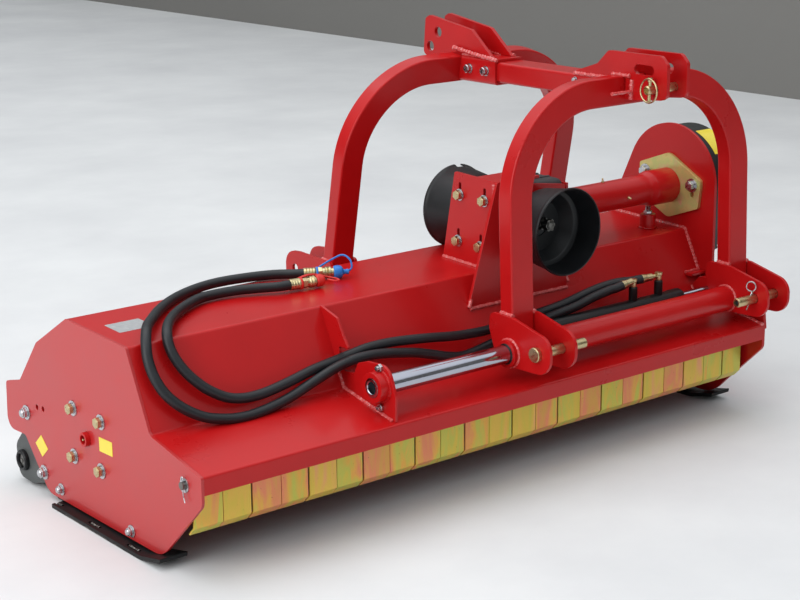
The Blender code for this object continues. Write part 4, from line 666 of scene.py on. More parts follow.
def side_plates():
    """The left plate, the right plate that rises to the drive, and the ears for the slide rods."""
    rod_hole = circle(FLAP_ROD, 0.0108, 20)
    small = [circle(spot, 0.0075, 20) for spot in ((0.814, 0.247), (0.780, 0.250))]
    top = [(0.624, 0.532, 0.010), (0.325, 0.523, 0.010), (0.228, 0.324, 0.020), (0.003, 0.279, 0.006)]
    left = side_plate(rounded(SIDE + top), LEFT_FACE, -0.992,
                      [rod_hole, circle(ROTOR, 0.0195), *small], 0.0014, 3)
    # The left plate takes the copy of the red coat with painted sheen
    done(left, "left_side_plate", "sheen_red", "mulcher", "side_plate_left")
    top = [(0.664, 0.508, 0.020), (0.5055, 0.842, 0.180), (0.212, 0.842, 0.180), (0.212, 0.321, 0.020),
           (0.003, 0.279, 0.006)]
    right = side_plate(rounded(SIDE + top, 4.0), 0.990, RIGHT_FACE,
                       [rod_hole, circle(ROTOR, 0.031), circle(DRIVE, 0.030), *small], 0.0014, 3)
    ears = [
        side_plate(rounded(outline), RIGHT_FACE, 1.0115, [circle(rod, ROD_BORE)], 0.0014, 3)
        for outline, rod in (
            ([(0.006, 0.262, 0.004), (0.024, 0.411, 0.046), (0.120, 0.411, 0.046), (0.120, 0.345, 0.020),
              (0.208, 0.345, 0.010), (0.208, 0.262, 0.006)], FRONT_ROD),
            ([(0.790, 0.300, 0.010), (0.790, 0.405, 0.010), (0.882, 0.428, 0.046), (0.978, 0.428, 0.046),
              (0.978, 0.332, 0.046), (0.905, 0.290, 0.020)], REAR_ROD),
        )
    ]
    done(joined([right, *ears]), "right_side_plate", "red", "mulcher", "side_plate_right")


def side_plate_fasteners():
    """Bolts, nuts and reflectors on the outside of the side plates."""
    bearing = [(0.610, 0.2965), (0.466, 0.296), (0.616, 0.164), (0.475, 0.163)]
    arms = [(0.875, 0.217), (0.792, 0.069)]
    skids = [(0.700, 0.047), (0.338, 0.0425)]
    for name, x, way in (("left", LEFT_FACE, (-1, 0, 0)), ("right", RIGHT_FACE, (1, 0, 0))):
        places = [(x, *spot) for spot in bearing]
        bolts(f"{name}_bearing_bolts", "mulcher", places, way, 0.026, wide=0.0205)
        nuts(f"{name}_arm_nuts", "mulcher", [(x, *spot) for spot in arms], way, 0.026)
        nuts(f"{name}_skid_nuts", "mulcher", [(x, *spot) for spot in skids], way, 0.021)
    # Plain reflectors of thin sheet
    sheets = [side_plate(outline, LEFT_FACE - 0.0007, LEFT_FACE, edge=0.0002) for outline in (
        [(0.800, 0.172), (0.765, 0.141), (0.800, 0.110), (0.835, 0.141)],
        [(0.4150, 0.217), (0.4810, 0.215), (0.4810, 0.253), (0.4150, 0.255)],
    )]
    done(joined(sheets), "left_reflectors", "reflector", "mulcher")


def bearing_housings():
    """Flanged housings inside the plates; the left one's hollow grease boss comes through."""
    for name, inner, way in (("left", LEFT_INNER, 1), ("right", RIGHT_INNER, -1)):
        square = rounded([(ROTOR[0] + u * 0.09, ROTOR[1] + v * 0.09, 0.025)
                          for u, v in ((1, 1), (-1, 1), (-1, -1), (1, -1))])
        face = sorted((inner, inner + way * 0.012))
        body = joined([
            side_plate(square, *face, [circle(ROTOR, 0.026)], 0.0015, 3),
            turned([(0.0256, 0.004), (0.052, 0.004), (0.050, 0.030), (0.044, 0.036), (0.0256, 0.036)],
                   (inner, *ROTOR), (inner + way, *ROTOR), 40, 0.001),
        ])
        done(body, f"bearing_flange_{name}", "cast", "mulcher", f"bearing_housing_{name}")
    boss = turned([(0.012, 0.002), (0.019, 0.002), (0.019, 0.0243), (0.012, 0.0243)],
                  (LEFT_INNER + 0.003, *ROTOR), (LEFT_INNER - 1, *ROTOR), 48, 0.0012)
    done(boss, "grease_boss", "red", "mulcher")
    grease_fitting("rotor_grease_nipple", "mulcher", (LEFT_FACE, *ROTOR), (-1, 0, 0))


# Where the slots in the skids' ledges begin and end, in y
SKID_SLOTS = [(0.671, 0.709), (0.473, 0.530), (0.276, 0.336)]


def skids():
    """Soles with upturned toes, three slots in each ledge, and the flange inside the plate."""
    outline = rounded([(0.706, 0.000, 0.002), (0.255, 0.000, 0.150), (0.160, 0.0215, 0.002),
                       (0.157, 0.0335, 0.002), (0.253, 0.012, 0.150), (0.706, 0.012, 0.002)], 3.0)
    flange = rounded([(0.745, 0.006, 0.0), (0.745, 0.068, 0.020), (0.290, 0.068, 0.020), (0.290, 0.006, 0.0)])
    for name, side, face in (("left", -1, LEFT_INNER), ("right", 1, RIGHT_INNER)):
        edge, inner = sorted((side * 1.030, side * 0.950))
        sole = side_plate(outline, edge, inner, edge=0.0012)
        cutters = []
        for near, far in SKID_SLOTS:
            flat = slot((side * 1.015, (near + far) / 2), far - near, 0.012, upright=True)
            cutters.append(plate(flat, 0.08, Matrix.Translation((0, 0, 0.01)), edge=0.0001, segments=1))
        cutter = joined(cutters)
        shaped(sole, "BOOLEAN", object=cutter, operation="DIFFERENCE", solver="EXACT")
        bpy.data.objects.remove(cutter)
        low, high = sorted((face, face - side * 0.008))
        done(joined([sole, side_plate(flange, low, high)]), f"{name}_skid", "skid", "mulcher", f"skid_{name}")
        plugs = [weld([(side * 1.013, near + 0.007, 0.0075), (side * 1.013, far - 0.007, 0.0075)], 0.0052)
                 for near, far in SKID_SLOTS]
        done(joined(plugs), f"{name}_skid_plug_welds", "steel", "mulcher")


def rear_roller():
    """The roller on its stubs, with arms and end bearings."""
    axis = (0.925, 0.065)
    roller = joined([
        turned([(0, 0), (0.058, 0), (0.060, 0.006), (0.065, 0.006), (0.065, 1.918), (0.060, 1.918),
                (0.058, 1.924), (0, 1.924)], (-0.962, *axis), (0.962, *axis), 64, 0.0008),
        bar((-0.9914, *axis), (0.9894, *axis), 0.020, 32),
    ])
    done(roller, "rear_roller", "black", "roller", "roller")
    outline = rounded([(0.848, 0.240, 0.015), (0.883, 0.240, 0.012), (0.884, 0.192, 0.020),
                       (0.928, 0.145, 0.030), (0.972, 0.100, 0.035), (0.962, 0.010, 0.030),
                       (0.885, 0.008, 0.030), (0.765, 0.045, 0.020), (0.765, 0.092, 0.020),
                       (0.848, 0.150, 0.040)])
    for name, inner, way in (("left", LEFT_INNER, 1), ("right", RIGHT_INNER, -1)):
        face = sorted((inner, inner + way * 0.008))
        arm = side_plate(outline, *face, [circle(axis, 0.0205)])
        done(arm, f"{name}_roller_arm", "grey", "mulcher", f"roller_arm_{name}")
        bearing = turned([(0.0205, 0), (0.030, 0), (0.029, 0.010), (0.026, 0.0133), (0.021, 0.0133),
                          (0.019, 0.008), (0.0205, 0.005)], (inner, *axis), (inner - way, *axis), 40, 0.001)
        done(bearing, f"{name}_roller_bearing", "black", "mulcher")
        cap = turned([(0, 0.003), (0.0185, 0.003), (0.0185, 0.0065), (0.006, 0.008), (0.006, 0.0105),
                      (0, 0.0105)],
                     (inner, *axis), (inner - way, *axis), 32, 0.0006)
        done(cap, f"{name}_roller_axle_end", "steel", "roller")


def flaps():
    """The flap rod with its washers and cotters, and the pressed flaps rolled round it."""
    rod = bar((-1.012, *FLAP_ROD), (1.012, *FLAP_ROD), 0.010, 32, 0.001)
    done(rod, "flap_hinge_rod", "steel", "mulcher", "flap_rod")
    for name, x, way in (("left", LEFT_FACE, (-1, 0, 0)), ("right", RIGHT_FACE, (1, 0, 0))):
        ring = repeated(washer(0.0103, 0.0185, 0.003), facing([(x, *FLAP_ROD)], way))
        done(ring, f"flap_rod_{name}_washer", "bright", "mulcher")
        out = x + way[0] * 0.0075
        legs = [(out + way[0] * 0.001, 0.064, 0.202), (out, 0.071, 0.215), (out, 0.073, 0.232)]
        bow = [(out, FLAP_ROD[0] + 0.004 * math.cos(math.radians(angle)),
                FLAP_ROD[1] + 0.017 + 0.0055 * math.sin(math.radians(angle))) for angle in range(240, -61, -30)]
        wire = [*legs, (out, 0.074, 0.250), *bow, (out, 0.0765, 0.250), (out, 0.0765, 0.228)]
        done(tube(smooth(wire, 0.002), 0.0016), f"flap_rod_{name}_cotter", "bright", "mulcher")

    rolled = [polar(FLAP_ROD, radius, first + (last - first) * step / 24)
              for radius, first, last in ((0.0160, 280, -81), (0.0112, -70, 268)) for step in range(25)]
    bent = rounded([(0.0725, 0.230, 0), (0.0725, 0.125, 0.006), (0.0945, 0.103, 0.0), (0.0980, 0.1065, 0.0),
                    (0.0775, 0.1271, 0.005), (0.0775, 0.230, 0)])

    def pressed(number, gap):
        """One flap and the eye rolled round the rod, with a gap to the next flap."""
        left, right = FIRST_FLAP + FLAP_PITCH * number, FIRST_FLAP + FLAP_PITCH * (number + 1) - gap
        eye = side_plate(rolled, left + 0.0004, right - 0.0004, edge=0.0002, segments=1)
        return joined([side_plate(bent, left, right, edge=0.0010), eye])

    pair = joined([pressed(0, 0.0016), pressed(1, 0.005)])
    for number in range(11):
        copy = linked(pair.data.copy())
        copy.data.transform(Matrix.Translation((2 * FLAP_PITCH * number, 0, 0)))
        name = f"flap_{number + 1:02d}"
        done(copy, f"pressed_{name}", "flaps", name, name)
    bpy.data.objects.remove(pair)
    done(pressed(22, 0.005), "pressed_flap_12", "flaps", "flap_12", "flap_12")


def rotor():
    """Tube, shaft ends and discs, with a row of hammers on each hinge rod."""
    core = turned([(0, 0), (0.060, 0), (0.060, 1.890), (0, 1.890)],
                  (-0.945, *ROTOR), (0.945, *ROTOR), 48, 0.001)
    shaft = bar((-0.986, *ROTOR), (1.076, *ROTOR), 0.025, 40, 0.001)
    hinges = {letter: polar(ROTOR, 0.092, angle) for letter, angle in (("a", 270), ("b", 30), ("c", 150))}
    lefts = [-0.941 + 1.872 * place / 6 for place in range(7)]
    discs = [side_plate(circle(ROTOR, 0.112, 64), left, left + 0.010,
                        [circle(spot, 0.0100, 16) for spot in hinges.values()]) for left in lefts]
    seams = [ring_weld(ROTOR, 0.061, left + side, 0.0035) for left in lefts for side in (-0.001, 0.011)]
    done(joined([core, shaft, *discs, *seams]), "rotor_tube", "black", "rotor", "rotor")
    outline = rounded([(-0.021, 0.021, 0.0205), (0.021, 0.021, 0.0205), (0.0085, -0.034, 0.006),
                       (0.015, -0.080, 0.004), (0.015, -0.102, 0.004), (-0.015, -0.106, 0.004),
                       (-0.015, -0.080, 0.004), (-0.0085, -0.034, 0.006)], 12.0)
    for row, (letter, (y, z)) in enumerate(hinges.items()):
        model = side_plate(outline, -0.0375, 0.0375, [circle((0, 0), 0.0093, 16)], 0.0018)
        bays = [left + 0.010 + 0.302 * (row + 0.5) / 3 for left in lefts[:6]]
        hammers = repeated(model, [Matrix.Translation((x, y, z)) for x in bays])
        rod = bar((-0.946, y, z), (0.946, y, z), 0.009, 24, 0.001)
        done(joined([hammers, rod]), f"hammers_{letter}", "forged", f"hammers_{letter}", f"hammer_row_{letter}")


def slide_rods():
    """Chromed rods with bored ends, and the brackets at their left ends."""
    for name, spot in (("front", FRONT_ROD), ("rear", REAR_ROD)):
        rod = turned([(0, 0.030), (0.0160, 0.030), (0.0160, 0.002), (0.0180, 0), (ROD, 0), (ROD, 1.4555),
                      (0, 1.4555)],
                     (-0.4440, *spot), (1.0115, *spot), 64, 0.0009)
        done(rod, f"{name}_slide_rod", "chrome", "mulcher", f"slide_rod_{name}")
    front = [(0.3285, 0.5255, 0.000), (0.253, 0.505, 0.008), (0.224, 0.457, 0.020), (0.205, 0.430, 0.004),
             (0.246, 0.431, 0.006), (0.243, 0.392, 0.012), (0.226, 0.370, 0.010), (0.184, 0.371, 0.010),
             (0.166, 0.404, 0.012), (0.128, 0.417, 0.020), (0.040, 0.424, 0.045), (0.012, 0.350, 0.040),
             (0.0140, 0.2815, 0.000), (0.2262, 0.3238, 0.000)]
    rear = [(0.7957, 0.4303, 0.000), (0.801, 0.436, 0.010), (0.900, 0.434, 0.045), (0.978, 0.425, 0.045),
            (0.978, 0.330, 0.045), (0.8915, 0.303, 0.010), (0.8895, 0.3055, 0.000)]
    for name, outline, spot in (("front", front, FRONT_ROD), ("rear", rear, REAR_ROD)):
        bracket = joined([
            side_plate(rounded(outline), -0.414, -0.406, [circle(spot, ROD_BORE)], 0.0012, 3),
            turned([(ROD_BORE, 0), (0.040, 0), (0.040, 0.030), (ROD_BORE, 0.030)],
                   (-0.443, *spot), (-0.413, *spot), 56, 0.0016),
            ring_weld(spot, 0.0405, -0.4145, 0.0035),
        ])
        done(bracket, f"{name}_rod_bracket", "red", "mulcher", f"rod_bracket_{name}_left")
        # A dark disc deep in each bored end: painted shade for the inside of the bore
        plug = turned([(0, 0.022), (0.0158, 0.022), (0.0158, 0.028), (0, 0.028)],
                      (-0.4440, *spot), (0, *spot), 40)
        done(plug, f"{name}_rod_bore_painted_shade", "belt", "mulcher")
    seam = [(-0.4155, y, z) for y, z in ((0.022, 0.2835), (0.120, 0.303), (0.224, 0.3235), (0.258, 0.388))]
    done(weld(seam, 0.0052), "front_bracket_weld", "bead", "mulcher")
    # Set screws with a socket in the end, held by a lock nut
    screw = joined([
        hexagon(0.019, 0.0085),
        standing([(0, 0.010), (0.0036, 0.010), (0.0036, 0.0155), (0.0058, 0.0155), (0.0064, 0.0145),
                  (0.0064, 0.006), (0, 0.006)]),
    ])
    places = facing([(-0.414, 0.070, 0.4135), (-0.414, 0.068, 0.309)], (-1, 0, 0))
    done(repeated(screw, places), "bracket_set_screws", "bright", "mulcher")


# The headstock

# The left and right faces of the four clevis plates under each hoop
LEGS = [(0.0267, 0.0367), (0.1173, 0.1273), (0.8967, 0.9067), (0.9873, 0.9973)]


def carriages():
    """Cross tubes that slide on the rods, with the clevis plates welded to them."""
    front = [(0.151, 0.466, 0.020), (0.062, 0.4645, 0.020), (-0.0860, 0.430, 0.046), (-0.0860, 0.332, 0.050),
             (0.080, 0.326, 0.020), (0.130, 0.352, 0.030), (0.1555, 0.420, 0.020)]
    rear = [(0.872, 0.464, 0.012), (1.040, 0.470, 0.030), (1.1085, 0.464, 0.046), (1.1085, 0.364, 0.048),
            (0.985, 0.330, 0.040), (0.878, 0.330, 0.045)]
    for name, outline, spot, pin in (("front", front, FRONT_ROD, LOWER_PIN),
                                     ("rear", rear, REAR_ROD, (1.060, 0.414))):
        holes = [circle(pin, 0.0146), circle(spot, 0.036)]
        plates = [side_plate(rounded(outline, 5.0), *faces, holes, 0.0013, 3) for faces in LEGS]
        cross = turned([(ROD_BORE, 0), (0.038, 0), (0.038, 0.9856), (ROD_BORE, 0.9856)],
                       (0.0117, *spot), (0.9973, *spot), 64, 0.0014)
        seams = [ring_weld(spot, 0.0385, x, 0.0036)
                 for x in (0.0262, 0.0372, 0.1168, 0.1278, 0.8962, 0.9072, 0.9868)]
        if name == "front":
            # The tang that holds the cylinder's closed end
            tang = rounded([(0.102, 0.336, 0.004), (0.211, 0.336, 0.018), (0.211, 0.380, 0.018),
                            (0.102, 0.380, 0.004)])
            plates.append(side_plate(tang, 0.2497, 0.2617))
        done(joined([cross, *plates]), f"{name}_carriage", "red", "headstock", f"carriage_{name}")
        done(joined(seams), f"{name}_carriage_welds", "bead", "headstock")
        wiper = turned([(ROD_BORE, 0), (0.0290, 0), (0.0280, 0.0025), (ROD_BORE, 0.0025)], (0.0117, *spot),
                       (0.0092, *spot), 48)
        done(wiper, f"{name}_rod_wiper", "plastic", "headstock")


def arch(top, foot, front, lean):
    """A hoop of bent box tube between two heights, from its front face at the foot."""
    height = (top - foot) / math.cos(math.atan(lean))
    outline = rounded([(TUBE[0] + u, v, radius) for u, v, radius in (
        (-0.475, 0, 0), (-0.475, height, 0.310), (0.475, height, 0.310), (0.475, 0, 0),
        (0.395, 0, 0), (0.395, height - 0.080, 0.230), (-0.395, height - 0.080, 0.230), (-0.395, 0, 0),
    )], 3.0)
    return cross_plate(outline, 0, 0.050, edge=0.006, segments=4, lean=lean, foot=(front, foot))


def headstock():
    """Both arches, the centre tube, the sleeve, the top clevises and their welds."""
    seams = []
    for x in (0.0370, 0.1170, 0.9070, 0.9870):
        seams.append(weld([(x, 0.0705, 0.466), (x, 0.118, 0.4672)], 0.0056))
        seams.append(weld([(x, 0.885, 0.4655), (x, 0.930, 0.467)], 0.0050))
    done(arch(1.068, 0.4045, 0.0701, 0.035), "front_hoop", "red", "headstock", "front_arch")
    # The beads beside the rear clevis and the sleeve, and a short one on the front hoop beside its clevis
    seams += [weld(line, 0.0062) for line in (
        [(0.457, 0.805, 1.084), (0.457, 0.699, 1.070), (0.457, 0.607, 1.061)],
        [(0.550, 0.7755, 1.0746), (0.550, 0.688, 1.063)],
    )]
    seams.append(weld([(0.389, 0.0660, 1.0275), (0.466, 0.0660, 1.0275)], 0.0045))
    opening = oblong(TUBE, 0.0503, 0.0303, 0.006)
    sleeve = cross_plate(oblong(TUBE, 0.058, 0.038, 0.010), 0.612, 0.776, [opening], 0.0012, 3)
    done(joined([arch(1.061, 0.420, 0.886, -0.190), sleeve]), "rear_hoop", "red", "headstock", "rear_arch")
    inside = oblong(TUBE, 0.044, 0.024, 0.003)
    centre = cross_plate(oblong(TUBE, 0.050, 0.030, 0.008), 0.118, 0.752, [inside], 0.0008)
    done(centre, "top_tube", "red", "headstock", "centre_tube")

    front = [(0.292, 1.0553, 0.0), (0.290, 1.062, 0.004), (0.200, 1.092, 0.020), (0.158, 1.132, 0.015),
             (-0.040, 1.133, 0.020), (-0.063, 1.110, 0.015), (-0.063, 1.024, 0.015), (-0.045, 1.014, 0.010),
             (0.068, 1.0035, 0.0), (0.0915, 1.0040, 0.0), (0.0905, 1.0683, 0.0), (0.141, 1.0687, 0.0),
             (0.143, 1.0553, 0.0)]
    rear = [(0.640, 1.0638, 0.0), (0.735, 1.141, 0.020), (0.930, 1.171, 0.012), (0.950, 1.161, 0.010),
            (0.960, 1.052, 0.015), (0.930, 1.042, 0.010), (0.818, 1.020, 0.0), (0.815, 1.0615, 0.0),
            (0.7685, 1.0625, 0.0)]
    for name, outline, holes, tie, node in (
        ("front", front, [slot((0.022, 1.090), 0.073, 0.028), circle(TOP_PIN, 0.0128)],
         ((0.475, 0.030, 1.018), (0.549, 0.066, 1.030)), "top_clevis_front"),
        ("rear", rear, [circle((0.890, 1.122), 0.0165), circle((0.927, 1.076), 0.0165)],
         ((0.475, 0.835, 1.066), (0.549, 0.870, 1.078)), "top_clevis_rear"),
    ):
        plates = [side_plate(rounded(outline, 6.0), left, left + 0.012, holes, 0.0014, 3)
                  for left in (0.467, 0.545)]
        if name == "front":
            lines = [((0.148, 1.0565), (0.288, 1.0565)), ((0.072, 1.0690), (0.140, 1.0690))]
        else:
            lines = [((0.642, 1.0645), (0.772, 1.0645))]
        seams += [weld([(x, *near), (x, *far)], 0.0058) for near, far in lines for x in (0.4655, 0.5585)]
        if name == "front":
            seams += [weld([(x, 0.0690, 1.005), (x, 0.0650, 1.060)], 0.0058) for x in (0.4660, 0.5580)]
        done(joined([*plates, block(*tie)]), f"top_{name}_clevis", "red", "headstock", node)
    done(joined(seams), "headstock_welds", "bead", "headstock")
    # Cap screws whose sockets show as dark rings
    cap = joined([
        washer(0.0070, 0.0150, 0.0020),
        standing([(0, 0.006), (0.0058, 0.006), (0.0058, 0.0160), (0.0105, 0.0160), (0.0122, 0.0140),
                  (0.0122, 0.002), (0, 0.002)], 28),
        standing([(0, 0.005), (0.0030, 0.005), (0.0022, 0.0125), (0, 0.0130)], 16),
    ])
    left, right = ([(x, 0.728, 1.0275), (x, 0.654, 1.0265)] for x in (0.454, 0.570))
    done(repeated(cap, facing(left, (-1, 0, 0))), "sleeve_screws", "bright", "headstock")
    bolts("sleeve_bolts_right", "headstock", right, (1, 0, 0), 0.019, "bright")
    bolts("tube_plug_screw", "headstock", [(0.462, 0.281, 1.038)], (-1, 0, 0), 0.013, "bright")


def hitch_pins():
    """The pins with their heads, the top lynch pin and the spring clips."""
    for name, node, spot, near, far, radius, head in (
        ("left_hitch_pin", "hitch_pin_front_left", LOWER_PIN, 0.0264, 0.2023, 0.014, 0.0205),
        ("right_hitch_pin", "hitch_pin_front_right", LOWER_PIN, 0.9976, 0.8185, 0.014, 0.0205),
        ("top_pin", "top_link_pin", TOP_PIN, 0.5573, 0.4327, 0.0125, 0.018),
    ):
        line = ((near, *spot), (far, *spot))
        length = abs(far - near)
        pin = turned([(0, -0.012), (head - 0.002, -0.012), (head, -0.010), (head, 0), (radius, 0),
                      (radius, length - 0.003), (radius - 0.003, length), (0.0085, length),
                      (0.0080, length - 0.010), (0, length - 0.010)], *line, 40)
        done(pin, name, "yellow", "headstock", node)
        if name == "right_hitch_pin":
            # A dark disc inside the pin's hollow end: painted shade for the recess
            hollow = turned([(0, length - 0.0098), (0.0078, length - 0.0098), (0.0078, length - 0.006),
                             (0.003, length - 0.006), (0, length - 0.003)], *line, 24)
            done(hollow, name + "_recess_painted_shade", "belt", "headstock")
    # The top lynch pin: a stub through the pin's end and a sprung wire ring
    x, y, z = 0.4465, *TOP_PIN
    stub = turned([(0, -0.034), (0.0040, -0.034), (0.0052, -0.031), (0.0052, 0.022), (0.0080, 0.023),
                   (0.0080, 0.032), (0.0070, 0.034), (0, 0.034)], (x, y, z), (x, y - 0.05, z + 1), 24)
    done(stub, "top_lynch_pin", "yellow", "headstock")
    ring = [(x - 0.0110, y - 0.007 + 0.030 * math.cos(math.radians(angle)),
             z - 0.0004 + 0.032 * math.sin(math.radians(angle))) for angle in range(0, 360, 10)]
    done(tube(ring, 0.0024, closed=True), "top_lynch_pin_ring", "yellow", "headstock")
    # The right pin's spring clip: an eye of wire whose legs go through the pin
    eye = [(0.882 + 0.0060 * math.cos(math.radians(angle)), -0.035 - 0.0125 * math.cos(math.radians(angle)),
            0.424 + 0.0145 * math.sin(math.radians(angle))) for angle in range(-60, 241, 20)]
    legs = [(0.8845, -0.036, 0.408), (0.8800, -0.036, 0.396), (0.8720, -0.036, 0.372), (0.8640, -0.036, 0.356)]
    wire = [(0.8880, -0.037, 0.3985), (0.8850, -0.0375, 0.4075), *eye, *legs]
    done(tube(smooth(wire, 0.002), 0.0020), "right_spring_clip", "bright", "headstock")
    wire = [(0.1520, -0.035, 0.358), (0.1520, -0.036, 0.372), (0.1520, -0.037, 0.400), (0.1515, -0.032, 0.412),
            (0.1490, -0.018, 0.418), (0.1450, -0.008, 0.412), (0.1430, -0.010, 0.400), (0.1430, -0.018, 0.394)]
    done(tube(smooth(wire, 0.002), 0.0030), "left_spring_clip", "bright", "headstock")


# The side shift cylinder and its hoses

# The top of each port, and its ferrule's ends
FERRULES = {
    "a": ((0.617, 0.185, 0.4495), (0.619, 0.186, 0.4430), (0.5756, 0.190, 0.435)),
    "b": ((0.724, 0.185, 0.4520), (0.722, 0.188, 0.4410), (0.6650, 0.199, 0.438)),
}
# Where each coupler begins, at its hose, and a point on the far side that it points at
COUPLERS = {
    "a": ((-0.300, 0.556, 0.5475), (-0.191, 0.493, 0.5475)),
    "b": ((-0.403, 0.479, 0.5475), (-0.300, 0.466, 0.5475)),
}
# The hoses' middle lines between the ferrules and the couplers
ROUTES = {
    "a": [
        (0.530, 0.1965, 0.4275), (0.460, 0.1970, 0.4170), (0.397, 0.1970, 0.4030), (0.336, 0.1985, 0.3950),
        (0.250, 0.2010, 0.3830), (0.100, 0.2020, 0.3560), (-0.013, 0.203, 0.338), (-0.0725, 0.204, 0.345),
        (-0.131, 0.205, 0.362), (-0.1885, 0.205, 0.378), (-0.245, 0.205, 0.389), (-0.301, 0.205, 0.398),
        (-0.356, 0.205, 0.402), (-0.410, 0.206, 0.399), (-0.464, 0.208, 0.386), (-0.529, 0.209, 0.364),
        (-0.595, 0.204, 0.344), (-0.659, 0.198, 0.332), (-0.720, 0.1945, 0.3255), (-0.765, 0.1945, 0.326),
        (-0.808, 0.198, 0.332), (-0.858, 0.205, 0.346), (-0.907, 0.221, 0.375), (-0.942, 0.2405, 0.412),
        (-0.9585, 0.263, 0.453), (-0.9615, 0.284, 0.493), (-0.955, 0.301, 0.5235), (-0.938, 0.328, 0.546),
        (-0.908, 0.372, 0.550), (-0.863, 0.427, 0.547), (-0.796, 0.500, 0.545), (-0.722, 0.560, 0.5455),
        (-0.649, 0.601, 0.546), (-0.572, 0.627, 0.5465), (-0.501, 0.633, 0.5465), (-0.422, 0.620, 0.5470),
        (-0.365, 0.599, 0.5475),
    ],
    "b": [
        (0.583, 0.2190, 0.437), (0.520, 0.2245, 0.4320), (0.458, 0.2250, 0.4230), (0.397, 0.2250, 0.4120),
        (0.336, 0.2250, 0.4040), (0.200, 0.2220, 0.3950), (0.080, 0.214, 0.3900), (-0.004, 0.215, 0.392),
        (-0.064, 0.217, 0.397), (-0.122, 0.220, 0.404), (-0.190, 0.226, 0.410), (-0.259, 0.231, 0.414),
        (-0.3315, 0.233, 0.413), (-0.389, 0.234, 0.405), (-0.452, 0.233, 0.397), (-0.516, 0.229, 0.3895),
        (-0.581, 0.223, 0.3780), (-0.645, 0.2175, 0.3685), (-0.693, 0.216, 0.3640), (-0.738, 0.217, 0.3655),
        (-0.780, 0.222, 0.3755), (-0.821, 0.234, 0.3985), (-0.850, 0.247, 0.424), (-0.873, 0.262, 0.4525),
        (-0.888, 0.279, 0.4835), (-0.8935, 0.295, 0.512), (-0.887, 0.315, 0.5380), (-0.849, 0.368, 0.5475),
        (-0.784, 0.441, 0.5450), (-0.717, 0.493, 0.5450), (-0.654, 0.527, 0.5455), (-0.602, 0.534, 0.5460),
        (-0.545, 0.529, 0.5465), (-0.490, 0.510, 0.5470), (-0.445, 0.488, 0.5475),
    ],
}


def hose_line(letter):
    """A hose from its ferrule to its coupler, straight for a little at both ends."""
    _, start, ferrule = (Vector(point) for point in FERRULES[letter])
    away = (ferrule - start).normalized()
    near, far = (Vector(point) for point in COUPLERS[letter])
    back = (near - far).normalized()
    route = [ferrule + away * 0.028, *ROUTES[letter], near + back * 0.028]
    return [ferrule + away * 0.0003, *smooth(route, 0.010), near + back * 0.0003]


def couplers():
    """Quick couplers: crimped ferrule, hexagon, sleeve and a dust cap on its strap."""
    made = {}
    for letter, cap in (("a", "blue_cap"), ("b", "red_cap")):
        near, far = (Vector(point) for point in COUPLERS[letter])
        way = (far - near).normalized()
        crimp = [(0, 0), (0.0150, 0), (0.0155, 0.002), (0.0155, 0.006)]
        for place in (0.0075, 0.0155, 0.0235):
            crimp += [(0.0140, place), (0.0155, place + 0.0015), (0.0155, place + 0.0065)]
        crimp += [(0.0120, 0.033), (0.0120, 0.040), (0, 0.040)]
        ferrule = done(turned(crimp, near, far, 40), f"coupler_{letter}_ferrule", "yellow", "mulcher",
                       f"coupler_{letter}")
        nut = repeated(hexagon(0.027, 0.014, 0.038), [along(near, far)])
        sleeve = turned([(0, 0.052), (0.0130, 0.052), (0.0135, 0.054), (0.0135, 0.058), (0.0160, 0.060),
                         (0.0165, 0.063), (0.0150, 0.0645), (0.0165, 0.066), (0.0150, 0.0675), (0.0165, 0.069),
                         (0.0165, 0.074), (0.0125, 0.076), (0.0125, 0.092), (0, 0.092)], near, far, 40)
        body = done(joined([nut, sleeve]), f"coupler_{letter}_body", "yellow", "mulcher")
        if letter == "a":
            shape = [(0, 0.0830), (0.0155, 0.0830), (0.0180, 0.086), (0.0188, 0.092), (0.0186, 0.099),
                     (0.0165, 0.105), (0.0110, 0.109), (0.0072, 0.111), (0.0066, 0.117), (0.0078, 0.121),
                     (0.0074, 0.125), (0, 0.1262)]
            route = [(-0.2590, 0.5380, 0.5560), (-0.2554, 0.5449, 0.5600), (-0.2178, 0.5417, 0.5750),
                     (-0.1942, 0.5196, 0.5900), (-0.1833, 0.4992, 0.5800), (-0.1832, 0.4895, 0.5600),
                     (-0.1900, 0.4935, 0.5490)]
            ring, strands, wire = 0.034, (0,), 0.0027
        else:
            shape = [(0, 0.0800), (0.0150, 0.0800), (0.0172, 0.083), (0.0172, 0.096), (0.0140, 0.103),
                     (0.0080, 0.107), (0, 0.108)]
            route = [(-0.3700, 0.4760, 0.5625), (-0.3450, 0.4750, 0.5665), (-0.3150, 0.4780, 0.5625),
                     (-0.2910, 0.4830, 0.5540), (-0.2730, 0.4730, 0.5490), (-0.2650, 0.4530, 0.5480),
                     (-0.2690, 0.4360, 0.5480), (-0.2830, 0.4310, 0.5490), (-0.2980, 0.4450, 0.5520)]
            # A flat strap, as three strands side by side
            ring, strands, wire = 0.030, (-0.0028, 0, 0.0028), 0.0021
        lid = done(turned(shape, near, far, 40), f"coupler_{letter}_cap", cap, "mulcher")
        strap = joined([tube(smooth([(x, y + aside, z) for x, y, z in route], 0.003),
                             wire) for aside in strands])
        strap = done(strap, f"coupler_{letter}_strap", cap, "mulcher")
        start = near + way * ring
        band = turned([(0.0125, 0), (0.0172, 0), (0.0172, 0.006), (0.0125, 0.006)], start, far, 36, 0.0008)
        band = done(band, f"coupler_{letter}_strap_ring", cap, "mulcher")
        made[letter] = [ferrule, body, lid, strap, band]
    return made


def hoses(fittings):
    """Two wrapped rubber hoses from the cylinder to the couplers."""
    for letter in "ab":
        line = hose_line(letter)
        hose = done(tube(line, 0.0133, rings=6), f"side_shift_hose_{letter}", "rubber", None, smooth=60)
        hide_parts(f"hose_{letter}")
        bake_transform(hose)


